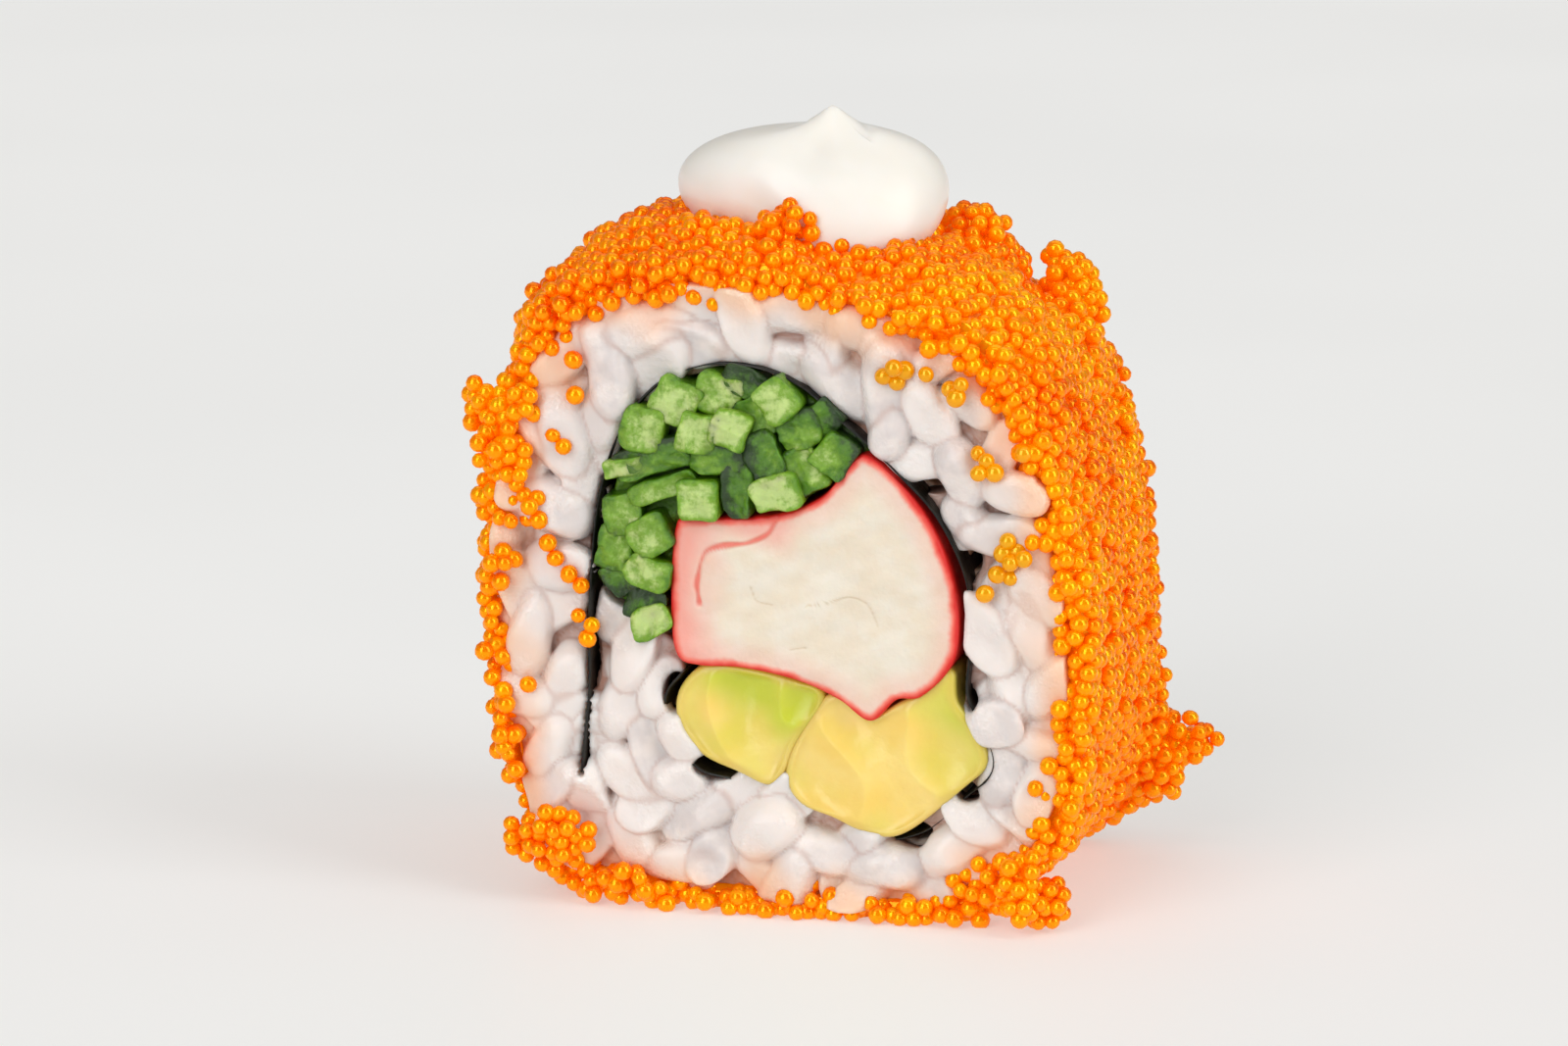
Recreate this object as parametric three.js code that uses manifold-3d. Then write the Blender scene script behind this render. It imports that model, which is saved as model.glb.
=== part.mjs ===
// An uramaki roll, one cut piece, lying on its curved side with a cut face at each end.
// From outside to inside: a coat of fish roe, rice, one nori sheet rolled into a spiral, and the
// fillings, which are a bundle of cucumber batons, a crab stick and two avocado slices.
// A dollop of cream sits on top.
//
// Millimetres. The roll's axis runs along Y, the front cut face looks along -Y, and Z is up.
// Outlines are drawn as points (x, z) on the cut face, joined by a smooth curve.

import * as THREE from 'three';
import { mergeVertices } from 'three/addons/utils/BufferGeometryUtils.js';
import Module from 'manifold-3d';

const wasm = await Module();
wasm.setup();

// Driving dimensions
const ROLL_DEPTH = 24; // from one cut face to the other
const GAP = 0.3; // clearance between neighbouring pieces
const FACET = 1.6; // length of one straight facet of an outline

const CRAB_PROUD = 0.15; // how far each filling stands out of the cut plane, or in when negative
const AVOCADO_PROUD = -0.25;
const NORI_PROUD = -0.5;
const CUCUMBER_CORE_PROUD = -1.2;
const RICE_CORE_PROUD = -0.9;

const NORI_THICK = 0.4;
const BATON_SIDE = 2.35; // a cucumber baton's square section

const GRAIN_LENGTH = 6.2; // a cooked short grain of rice
const GRAIN_WIDTH = 2.9;
const GRAINS_PER_FACE = 40;

const EGG_RADIUS = 0.58; // one egg of the roe
const COAT_RIGHT = 1.6; // thickness of the roe by the cut on the right side and on top
const COAT_LEFT = 0.8; // and on the left, where it is a single layer of eggs
const CROWN_RISE = 1.4; // how much thicker it lies on top, away from the cuts
const SHOULDER_RISE = 0.9; // and how much more on the upper right shoulder
const RISE_RUN = 6; // distance from a cut over which it rises so
const FLARE = { rise: 2.8, z: 6.5, spread: 4.5, run: 7 }; // a ridge low on the right, by the back cut
const COAT_LUMP = 0.35; // slow rise and fall of the coat
const BUMP_HEIGHT = 0.42; // how far one bump of roe stands out
const COAT_COLUMNS = 108; // a multiple of three, as one lattice point in three is raised
const COAT_ROWS = 24;

const CREAM_CENTRE = [-0.65, 0.8]; // x and y of the dollop's middle
const CREAM_REACH = [8.8, 7.3]; // its half width along x and along y
const CREAM_SHOULDER = 50.1; // height of its rounded top
const CREAM_BELLY = 46; // height at which it is widest
const CREAM_FOOT = 41; // below the roe, where it is cut off
const CREAM_TIP = [1, -0.6, 51.4]; // the drawn-up point
const CREAM_TIP_WIDTH = 1.9;
const CREAM_SAG = 1.3; // how much lower its front right lobe hangs

// Outlines on the cut face, as (x, z)
const RICE_OUTLINE = [
  [0, 1.2], [9, 1.3], [15.5, 4.4], [18.6, 11], [18.6, 18.5], [17.5, 27.5], [13.4, 35.8], [6, 39.8],
  [-3, 41], [-11, 40.2], [-16, 35.4], [-18.4, 27], [-18.7, 18.5], [-17, 7.5], [-13.5, 2.3],
];
const NORI_PATH = [
  [-13, 8.8], [-12.6, 14], [-12.3, 22], [-11.8, 27], [-10.3, 31.6], [-7.6, 34.9], [-3.6, 36.3],
  [0.6, 35.6], [4.7, 32.6], [8.2, 29.6], [10.9, 26.4], [12.5, 22.4], [12.6, 18.2], [12.5, 15.4],
  [13.7, 13], [14.2, 10.6], [12.2, 8.4], [9.4, 5.9], [5.8, 5.2], [1.8, 6.7], [-2.2, 8.7],
  [-5.2, 9.4], [-7.2, 11.8], [-7.4, 14.2], [-6.2, 15.9],
];
const CRAB_OUTLINE = [
  [5.9, 30.9], [8.4, 29], [10.6, 25.9], [11.8, 22.4], [12, 19.5], [11.5, 17.3], [9.6, 15.3],
  [8, 15], [6.3, 13.5], [4.2, 14.8], [1.4, 15.9], [-2.2, 16.5], [-5, 16.5], [-6.5, 17.1],
  [-6.9, 20.2], [-6.6, 25.4], [-5.6, 26.2], [-2.1, 26.4], [0.6, 26.9], [3, 28], [4.6, 29.8],
];
const AVOCADO_LEFT_OUTLINE = [
  [-4.6, 16.3], [-1.9, 16.3], [1.4, 15.6], [3, 14.8], [1.1, 11.6], [0.4, 9.8], [-0.5, 8.9],
  [-2.4, 9.6], [-4.8, 10.6], [-6.3, 12.4], [-6.3, 14.6],
];
const AVOCADO_RIGHT_OUTLINE = [
  [3.4, 14.7], [4.8, 14.4], [6.3, 13.6], [8.3, 14.6], [10, 15.6], [11.4, 17], [11.7, 15],
  [12.8, 13.4], [13.7, 11.2], [12.2, 9.5], [8.6, 6.4], [6.4, 6], [3.8, 7], [1.7, 7.8],
  [0.8, 9.4], [1.5, 11.8],
];
const CUCUMBER_OUTLINE = [
  [-7.6, 18.8], [-9.4, 19.6], [-11.5, 21.4], [-11.3, 25], [-10.9, 28], [-9.7, 31.2], [-7.7, 33.8],
  [-4.6, 35.3], [-1.6, 35.7], [1, 34.8], [5.9, 31.3], [2.9, 28.3], [0.6, 27.2], [-2.1, 26.7],
  [-5.7, 26.5], [-6.9, 25.6], [-7.3, 22.5],
];

// Cucumber batons, as x, z, turn about the baton's own length in degrees, and how far its ends
// stand out of the cut planes
const BATONS = [
  [-8.4, 31.7, -15, 0.3], [-6.4, 34, 35, 0.1], [-4.9, 31.6, 5, 0.6], [-3.6, 33.9, -10, 0],
  [-2.5, 31.8, 10, 0.7], [-1.2, 34.3, 25, -0.3], [-0.5, 31.9, 40, 0], [1.6, 32.8, 45, 0.5],
  [0.4, 29.9, -20, 0.2], [2.6, 30.6, 30, -0.2], [4.2, 30.9, -20, 0.1], [2.4, 28.9, -25, 0.4],
  [-3.4, 29.4, 0, 0.2], [-1, 28.1, 5, 0.4], [-3.9, 27.9, 3, 0.9], [-6.3, 29.4, 20, 0],
  [-8.8, 29.2, 20, 0.3], [-8.5, 27, 20, -0.2], [-10.2, 26.2, 10, 0.1], [-8.3, 24.6, -10, 0.2],
  [-10.3, 23.6, 30, 0.4], [-8.2, 22.2, 15, 0.5], [-10, 21.4, 45, 0], [-8.4, 20.2, -30, 0.2],
];

// Clumps of eggs that stand off the coat: the middle and half sizes of each, and its eggs
const EGG_CLUMPS = [
  { middle: [-19, -11, 31.8], half: [1.7, 1, 2.6], eggs: 9 },
  { middle: [-18.6, -11.2, 4.6], half: [1.2, 0.8, 1.6], eggs: 5 },
  { middle: [17.6, -10.8, 1.8], half: [1.6, 1, 1.2], eggs: 6 },
  { middle: [22.8, 10.6, 8.6], half: [2.4, 1.2, 1.3], eggs: 9 },
  { middle: [15.2, 8.6, 38.2], half: [2.5, 1.8, 3.3], eggs: 16 },
  { middle: [-14.4, 0, 41], half: [1.4, 1.2, 1.9], eggs: 5 },
  { middle: [10, 3.4, 43], half: [1.4, 1.4, 1.6], eggs: 6 },
  { middle: [20.6, 8, 30.4], half: [1.6, 1, 1.1], eggs: 4 },
];

// Single eggs stuck to the rice of the front cut face, as (x, z)
const LOOSE_EGGS = [
  [-16.2, 34.2], [-14.8, 35], [-15.2, 33.4], [-16.4, 31.2], [-17, 29.6], [-15.4, 30.2],
  [-17.6, 25], [-14.6, 22.6], [-14.4, 20.8], [-13.6, 20], [-15.4, 4.6], [-13.8, 3.8],
  [14.2, 31.2], [14.6, 23.4],
];

const mix = (a, b, share) => a + (b - a) * share;
const fraction = (value) => value - Math.floor(value);
const smoothstep = THREE.MathUtils.smoothstep;

// An evenly spread sequence: the n-th point of it in the unit square, without clusters or rows
const SPREAD = [0.7548776662, 0.569840291];
const spreadPoint = (n) => SPREAD.map((step) => fraction(0.5 + n * step));

// Points along a smooth curve through the given (x, z) points
function smooth(points, closed) {
  const corners = points.map(([x, z]) => new THREE.Vector3(x, z, 0));
  const curve = new THREE.CatmullRomCurve3(corners, closed, 'catmullrom', 0.5);
  const found = curve.getSpacedPoints(Math.round(curve.getLength() / FACET));
  if (closed) found.pop();
  return found.map((p) => new THREE.Vector2(p.x, p.y));
}

// The normal of an outline at one of its points, to the right of the way it runs
function normalAt(outline, i, closed) {
  const last = outline.length - 1;
  const before = outline[i > 0 ? i - 1 : (closed ? last : 0)];
  const after = outline[i < last ? i + 1 : (closed ? 0 : last)];
  const along = after.clone().sub(before).normalize();
  return new THREE.Vector2(along.y, -along.x);
}

// A closed outline, turned to run anticlockwise and moved outwards by a distance
function grown(outline, distance) {
  const anticlockwise = THREE.ShapeUtils.area(outline) > 0 ? outline : [...outline].reverse();
  return anticlockwise.map((p, i) => p.clone()
    .addScaledVector(normalAt(anticlockwise, i, true), distance));
}

// The outline of a strip of even thickness along an open path
function strip(path, thickness) {
  const side = (sign) => path.map((p, i) => p.clone()
    .addScaledVector(normalAt(path, i, false), sign * thickness / 2));
  return [...side(1), ...side(-1).reverse()];
}

// True where a point lies inside an outline
function holds(outline, x, z) {
  let inside = false;
  outline.forEach((a, i) => {
    const b = outline[(i + 1) % outline.length];
    const crosses = a.y > z !== b.y > z;
    if (crosses && x < a.x + ((z - a.y) / (b.y - a.y)) * (b.x - a.x)) inside = !inside;
  });
  return inside;
}

// A closed three.js geometry as a solid that can be joined and cut
function solid(geometry) {
  const bare = geometry.clone();
  bare.deleteAttribute('normal');
  bare.deleteAttribute('uv');
  const merged = mergeVertices(bare, 1e-4);
  return new wasm.Manifold(new wasm.Mesh({
    numProp: 3,
    vertProperties: new Float32Array(merged.attributes.position.array),
    triVerts: new Uint32Array(merged.index.array),
  }));
}

// The largest body of a solid, without loose scraps
function largest(made) {
  return made.decompose().sort((a, b) => b.volume() - a.volume())[0];
}

// An outline carried through the roll, ending half a length to each side of the middle
function prism(outline, half) {
  const geometry = new THREE.ExtrudeGeometry(new THREE.Shape(outline), {
    depth: 2 * half,
    bevelEnabled: false,
  });
  geometry.rotateX(Math.PI / 2).translate(0, half, 0);
  return solid(geometry);
}

const HALF = ROLL_DEPTH / 2;
const THROUGH = HALF + 6; // reaches past everything that stands out of a cut face

const riceEdge = smooth(RICE_OUTLINE, true);
const noriLine = smooth(NORI_PATH, false);
const crabEdge = smooth(CRAB_OUTLINE, true);
const avocadoLeftEdge = smooth(AVOCADO_LEFT_OUTLINE, true);
const avocadoRightEdge = smooth(AVOCADO_RIGHT_OUTLINE, true);
const cucumberEdge = smooth(CUCUMBER_OUTLINE, true);

// The room that each filling takes from its neighbours
const noriRoom = prism(strip(noriLine, NORI_THICK + 2 * GAP), THROUGH);
const crabRoom = prism(grown(crabEdge, GAP), THROUGH);
const avocadoLeftRoom = prism(grown(avocadoLeftEdge, GAP), THROUGH);
const avocadoRightRoom = prism(grown(avocadoRightEdge, GAP), THROUGH);
const cucumberRoom = prism(grown(cucumberEdge, GAP), THROUGH);

function nori() {
  return prism(strip(noriLine, NORI_THICK), HALF + NORI_PROUD);
}

function crabStick() {
  return largest(prism(crabEdge, HALF + CRAB_PROUD).subtract(noriRoom));
}

function avocadoLeft() {
  const slice = prism(avocadoLeftEdge, HALF + AVOCADO_PROUD);
  return largest(slice.subtract(crabRoom).subtract(noriRoom));
}

function avocadoRight() {
  const slice = prism(avocadoRightEdge, HALF + AVOCADO_PROUD);
  return largest(slice.subtract(crabRoom).subtract(noriRoom).subtract(avocadoLeftRoom));
}

// Batons with square ends round a core that holds them together, within the bundle's outline
function cucumber() {
  const batons = BATONS.map(([x, z, turn, proud]) => {
    const baton = new THREE.BoxGeometry(BATON_SIDE, 2 * (HALF + proud), BATON_SIDE);
    baton.rotateY(THREE.MathUtils.degToRad(turn)).translate(x, 0, z);
    return solid(baton);
  });
  const core = prism(grown(cucumberEdge, -GAP), HALF + CUCUMBER_CORE_PROUD);
  const bundle = wasm.Manifold.union([core, ...batons]).intersect(prism(cucumberEdge, THROUGH));
  return largest(bundle.subtract(crabRoom).subtract(noriRoom));
}

// True where a grain at (x, z) lies in the rice, a third of its width clear of every edge
function inRice(x, z) {
  const fillings = [crabEdge, avocadoLeftEdge, avocadoRightEdge, cucumberEdge,
    strip(noriLine, NORI_THICK)];
  return Array.from({ length: 8 }, (_, corner) => {
    const angle = corner * Math.PI / 4;
    return [x + GRAIN_WIDTH / 3 * Math.cos(angle), z + GRAIN_WIDTH / 3 * Math.sin(angle)];
  }).every(([px, pz]) => holds(riceEdge, px, pz) && !fillings.some((edge) => holds(edge, px, pz)));
}

// One grain of rice, a six-sided barrel with pointed ends: turn is its direction on the cut face
// and dip how far its length leaves that face
function grain(x, y, z, turn, dip, size) {
  const rim = Math.sin(Math.PI / 3); // where a sphere of three bands has its widest ring
  const shape = new THREE.SphereGeometry(1, 6, 3);
  const radius = size * GRAIN_WIDTH / 2 / rim;
  shape.scale(radius, size * GRAIN_LENGTH / 2, radius);
  shape.rotateX(Math.PI / 2 - dip).rotateY(turn).translate(x, y, z);
  return solid(shape);
}

function egg(x, y, z, size) {
  const shape = new THREE.IcosahedronGeometry(size * EGG_RADIUS, 0);
  shape.translate(x, y, z);
  return solid(shape);
}

// Grains over both cut faces of a core, with loose eggs of roe on the front one
function rice() {
  const pieces = [prism(riceEdge, HALF + RICE_CORE_PROUD)];
  for (const side of [-1, 1]) {
    let placed = 0;
    for (let n = 1 + 1000 * side; placed < GRAINS_PER_FACE; n += 1) {
      const [across, up] = spreadPoint(n);
      const spin = fraction(n * (Math.sqrt(5) - 1) / 2);
      const x = mix(-19.5, 19.5, across);
      const z = mix(1, 41, up);
      if (!inRice(x, z)) continue;
      const y = side * (HALF - mix(0.9, 1.4, fraction(13 * spin)));
      const dip = mix(-0.3, 0.3, fraction(7 * spin));
      pieces.push(grain(x, y, z, Math.PI * fraction(29 * spin), dip, mix(0.85, 1.05, spin)));
      placed += 1;
    }
  }
  LOOSE_EGGS.forEach(([x, z]) => pieces.push(egg(x, -HALF - 0.1, z, 1.1)));
  return largest(wasm.Manifold.union(pieces)
    .intersect(prism(riceEdge, THROUGH))
    .subtract(noriRoom)
    .subtract(crabRoom)
    .subtract(avocadoLeftRoom)
    .subtract(avocadoRightRoom)
    .subtract(cucumberRoom));
}

// How far a place on top of the roll lies from the dollop: 1 at the dollop's edge
function fromCream(x, y) {
  const [cx, cy] = CREAM_CENTRE;
  return Math.hypot((x - cx) / CREAM_REACH[0], (y - cy) / CREAM_REACH[1]);
}

// The thickness of the coat of roe without its bumps
function coatThickness(x, y, z) {
  const left = smoothstep(-x, 8, 18) * smoothstep(38 - z, 0, 8);
  const top = smoothstep(z, 31, 38);
  const shoulder = smoothstep(x, 2, 10) * smoothstep(z, 28, 34);
  const inward = smoothstep(HALF - Math.abs(y), 0, RISE_RUN);
  const lump = Math.sin(0.45 * x + 0.7 * y) * Math.sin(0.5 * z - 0.3 * y + 1);
  const flare = x > 0 ? Math.exp(-(((z - FLARE.z) / FLARE.spread) ** 2)) : 0;
  return mix(COAT_RIGHT, COAT_LEFT, left)
    + (CROWN_RISE * top + SHOULDER_RISE * shoulder) * inward
    + FLARE.rise * flare * smoothstep(y, HALF - FLARE.run, HALF)
    + COAT_LUMP * lump * (1 - 0.6 * left);
}

// The height of the coat's bumps: none under the dollop
function bumpHeight(x, y, z) {
  return z < 30 ? BUMP_HEIGHT : BUMP_HEIGHT * smoothstep(fromCream(x, y), 0.95, 1.15);
}

// Points and triangles of a tube round the rice, as a lattice of equal-sided triangles.
// thickness(x, y, z, raised) is the tube's height over the rice, where raised is true for one
// lattice point in three, so that each has six neighbours that aren't.
function tubeRoundRice(columns, rows, thickness) {
  const inner = grown(riceEdge, GAP);
  const points = [];
  for (let row = 0; row <= rows; row += 1) {
    const y = mix(-HALF, HALF, row / rows);
    for (let column = 0; column < columns; column += 1) {
      const at = inner.length * fraction((column + (row % 2) / 2) / columns);
      const i = Math.floor(at);
      const next = (i + 1) % inner.length;
      const foot = inner[i].clone().lerp(inner[next], at - i);
      const out = normalAt(inner, i, true).lerp(normalAt(inner, next, true), at - i).normalize();
      const raised = (column + 2 * (row + Math.floor(row / 2))) % 3 === 0;
      const top = foot.clone().addScaledVector(out, thickness(foot.x, y, foot.y, raised));
      points.push(new THREE.Vector3(top.x, y, Math.max(0, top.y)));
    }
  }
  const at = (row, column) => row * columns + column % columns;
  const index = [];
  for (let row = 0; row < rows; row += 1) {
    const [a, b] = row % 2 ? [0, 1] : [1, 0];
    for (let column = 0; column < columns; column += 1) {
      index.push(at(row, column), at(row + 1, column + b), at(row, column + 1));
      index.push(at(row + 1, column), at(row + 1, column + 1), at(row, column + a));
    }
  }
  return { points, index };
}

// A tube round the rice as a solid, filled to its middle
function filledTube(columns, rows, thickness) {
  const { points, index } = tubeRoundRice(columns, rows, thickness);
  const middle = new THREE.Vector3(0, 0, 20);
  points.push(middle.clone().setY(-HALF), middle.clone().setY(HALF));
  const front = points.length - 2;
  const back = points.length - 1;
  for (let column = 0; column < columns; column += 1) {
    const next = (column + 1) % columns;
    index.push(front, column, next);
    index.push(back, rows * columns + next, rows * columns + column);
  }
  return solid(new THREE.BufferGeometry().setFromPoints(points).setIndex(index));
}

// A clump of eggs round a small core
function eggClump({ middle, half, eggs }) {
  const core = new THREE.SphereGeometry(1, 6, 4);
  const [halfX, halfY, halfZ] = half.map((size) => Math.max(0.5, size - EGG_RADIUS));
  core.scale(halfX, halfZ, halfY).rotateX(Math.PI / 2).translate(...middle);
  const round = Array.from({ length: eggs }, (_, n) => {
    const rise = 1 - (2 * n + 1) / eggs;
    const angle = n * Math.PI * (3 - Math.sqrt(5));
    const level = Math.sqrt(1 - rise * rise);
    const z = middle[2] + halfZ * rise;
    return egg(middle[0] + halfX * level * Math.cos(angle),
      middle[1] + halfY * level * Math.sin(angle), Math.max(EGG_RADIUS, z), 1.1);
  });
  return wasm.Manifold.union([solid(core), ...round]);
}

// The coat of roe: a tube of bumps, rounded off at the cuts, with the clumps that stand off it
function roeCoat() {
  const tube = filledTube(COAT_COLUMNS, COAT_ROWS, (x, y, z, raised) => {
    const fromCut = (HALF - Math.abs(y)) / EGG_RADIUS;
    const rounding = mix(0.6, 1, smoothstep(fromCut, 0, 3));
    return rounding * coatThickness(x, y, z) + (raised ? bumpHeight(x, y, z) : 0);
  });
  const coat = wasm.Manifold.union([tube, ...EGG_CLUMPS.map(eggClump)]);
  const open = largest(coat.subtract(prism(grown(riceEdge, GAP), THROUGH)));
  return open.asOriginal().simplify(); // joins the facets of the flat on which the roll rests
}

// The dollop of cream: rings of points from its tip, over the belly, to its foot under the roe
function cream() {
  const around = 28;
  const rings = 13;
  const [cx, cy] = CREAM_CENTRE;
  const [tipX, tipY, tipZ] = CREAM_TIP;
  const points = [new THREE.Vector3(...CREAM_TIP)];
  for (let ring = 1; ring <= rings; ring += 1) {
    const swing = Math.PI * ring / (rings + 1);
    for (let i = 0; i < around; i += 1) {
      const angle = 2 * Math.PI * i / around;
      const notch = 0.16 * Math.exp(-(((angle - 4.45) / 0.35) ** 2));
      const reach = Math.sin(swing) ** 0.8 * (1 + 0.03 * Math.cos(2 * angle + 1) - notch);
      const onAxis = Math.cos(swing) > 0 ? reach : 1;
      const x = mix(tipX, cx, onAxis) + CREAM_REACH[0] * reach * Math.cos(angle);
      const y = mix(tipY, cy, onAxis) + CREAM_REACH[1] * reach * Math.sin(angle);
      const sag = CREAM_SAG * Math.max(0, Math.cos(angle - 5.4)) * reach;
      const toTip = Math.hypot(x - tipX, y - tipY) / CREAM_TIP_WIDTH;
      const peak = (tipZ - CREAM_SHOULDER) * Math.exp(-(toTip ** 2));
      const z = Math.cos(swing) > 0
        ? mix(CREAM_BELLY, CREAM_SHOULDER, Math.cos(swing)) + peak
        : mix(CREAM_BELLY, CREAM_FOOT, -Math.cos(swing));
      points.push(new THREE.Vector3(x, y, z - sag));
    }
  }
  points.push(new THREE.Vector3(cx, cy, CREAM_FOOT));
  const last = points.length - 1;
  const at = (ring, i) => 1 + (ring - 1) * around + i % around;
  const index = [];
  for (let i = 0; i < around; i += 1) {
    index.push(0, at(1, i), at(1, i + 1));
    index.push(last, at(rings, i + 1), at(rings, i));
    for (let ring = 1; ring < rings; ring += 1) {
      index.push(at(ring, i), at(ring + 1, i), at(ring + 1, i + 1));
      index.push(at(ring, i), at(ring + 1, i + 1), at(ring, i + 1));
    }
  }
  const dollop = solid(new THREE.BufferGeometry().setFromPoints(points).setIndex(index));
  const roeRoom = filledTube(COAT_COLUMNS / 2, COAT_ROWS / 2, (x, y, z) => (
    coatThickness(x, y, z) + bumpHeight(x, y, z) + GAP));
  return largest(dollop.subtract(roeRoom));
}

const PIECES = {
  roe_coat: { make: roeCoat, color: 0xf58a0c, roughness: 0.3 },
  rice: { make: rice, color: 0xe9e2dd, roughness: 0.4 },
  nori: { make: nori, color: 0x14180f, roughness: 0.55 },
  cucumber: { make: cucumber, color: 0x6fae3c, roughness: 0.35 },
  crab_stick: { make: crabStick, color: 0xf1e2d6, roughness: 0.45 },
  avocado_left: { make: avocadoLeft, color: 0xd5d768, roughness: 0.4 },
  avocado_right: { make: avocadoRight, color: 0xe2d266, roughness: 0.4 },
  cream: { make: cream, color: 0xf7f4ee, roughness: 0.2 },
};

const roll = new THREE.Group();
for (const [name, { make, color, roughness }] of Object.entries(PIECES)) {
  const { vertProperties, triVerts } = make().getMesh();
  const geometry = new THREE.BufferGeometry();
  geometry.setAttribute('position', new THREE.BufferAttribute(vertProperties, 3));
  geometry.setIndex(new THREE.BufferAttribute(triVerts, 1));
  const material = new THREE.MeshStandardMaterial({ color, roughness, metalness: 0 });
  const mesh = new THREE.Mesh(geometry, material);
  mesh.name = name;
  roll.add(mesh);
}

// The origin goes to the middle of the resting side
const box = new THREE.Box3().setFromObject(roll, true);
const middle = box.getCenter(new THREE.Vector3());
roll.children.forEach((mesh) => mesh.geometry.translate(-middle.x, -middle.y, -box.min.z));

export default roll;
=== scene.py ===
# %% [markdown]
# # An uramaki roll, made the way a sushi cook would look at it
#
# This lesson dresses a cut piece of an inside-out rice roll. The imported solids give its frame: the rice,
# the nori, the fillings, the roe coat and the cream, each in its real place. The first cells after this
# one make the tools, and each later one makes a finish or a piece. All shapes are worked out in
# millimetres, in the frame that the roll was drawn in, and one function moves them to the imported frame
# in metres.

# %% Load the frame
import itertools
import math

import bmesh
import bpy
import numpy as np
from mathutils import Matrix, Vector


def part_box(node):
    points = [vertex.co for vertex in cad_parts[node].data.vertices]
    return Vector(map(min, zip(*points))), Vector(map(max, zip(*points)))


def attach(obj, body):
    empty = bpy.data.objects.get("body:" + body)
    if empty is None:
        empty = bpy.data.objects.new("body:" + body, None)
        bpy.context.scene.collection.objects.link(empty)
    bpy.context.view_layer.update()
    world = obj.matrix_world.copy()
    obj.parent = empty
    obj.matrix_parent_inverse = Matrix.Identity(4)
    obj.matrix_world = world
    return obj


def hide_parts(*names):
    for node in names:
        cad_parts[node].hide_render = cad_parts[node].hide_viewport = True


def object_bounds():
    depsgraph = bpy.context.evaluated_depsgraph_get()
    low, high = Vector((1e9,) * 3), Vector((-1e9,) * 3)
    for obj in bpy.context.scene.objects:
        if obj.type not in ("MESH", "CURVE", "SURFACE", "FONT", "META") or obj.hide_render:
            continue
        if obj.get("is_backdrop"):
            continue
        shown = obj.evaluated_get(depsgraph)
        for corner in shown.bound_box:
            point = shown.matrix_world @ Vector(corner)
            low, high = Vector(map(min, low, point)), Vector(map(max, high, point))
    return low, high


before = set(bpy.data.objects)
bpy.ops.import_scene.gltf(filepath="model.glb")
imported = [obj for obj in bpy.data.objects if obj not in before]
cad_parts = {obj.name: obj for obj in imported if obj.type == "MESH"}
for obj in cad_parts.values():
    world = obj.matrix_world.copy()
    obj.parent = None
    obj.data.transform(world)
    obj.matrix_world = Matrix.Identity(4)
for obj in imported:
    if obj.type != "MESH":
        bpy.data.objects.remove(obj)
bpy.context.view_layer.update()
HALF = 12.0  # half the depth of the roll, from the middle to a cut face
GAP = 0.3  # what the solids leave between neighbours
print("nodes:", sorted(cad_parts))

# %% [markdown]
# ## Curves through a few points
#
# Every filling of the roll is a shape in the cut face that runs through the roll's depth. A cook's knife
# shows these shapes as outlines, so a few points on each are enough, with a smooth curve through them. The
# curve is a Catmull-Rom spline, which passes through its points and needs no handles. Its samples are
# spread evenly, because a mesh made on even samples has even faces.


# %% Smooth outlines
def spline(points, closed=True, step=0.5):
    """A Catmull-Rom curve in (x, z) through the points, sampled about every `step` mm. On each span the
    curve is half of a cubic whose slope at a point is the way from the point before to the one after. A
    closed curve runs anticlockwise."""
    p = np.array(points, float)
    if closed:
        a, b, c, d = (np.roll(p, shift, 0)[:, None] for shift in (1, 0, -1, -2))
    else:
        p = np.vstack([2 * p[0] - p[1], p, 2 * p[-1] - p[-2]])
        a, b, c, d = (p[i : len(p) - 3 + i, None] for i in range(4))
    t = np.linspace(0, 1, 24, endpoint=False)[None, :, None]
    cubic = 2 * b + (c - a) * t + (2 * a - 5 * b + 4 * c - d) * t**2 + (3 * b - a - 3 * c + d) * t**3
    line = (cubic / 2).reshape(-1, 2)
    line = np.vstack([line, line[:1] if closed else p[-2:-1]])
    gone = np.concatenate([[0], np.cumsum(np.linalg.norm(np.diff(line, axis=0), axis=1))])
    count = round(gone[-1] / step)
    at = np.linspace(0, gone[-1], count, endpoint=not closed)
    line = np.stack([np.interp(at, gone, line[:, i]) for i in (0, 1)], 1)
    turned = np.sum(line[:, 0] * np.roll(line[:, 1], -1) - line[:, 1] * np.roll(line[:, 0], -1))
    return line[::-1] if closed and turned < 0 else line


def outward(line):
    """The unit normal at each point of a closed anticlockwise line: its direction turned to the right."""
    along = np.roll(line, -1, 0) - np.roll(line, 1, 0)
    along /= np.linalg.norm(along, axis=1)[:, None]
    return np.stack([along[:, 1], -along[:, 0]], 1)


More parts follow.
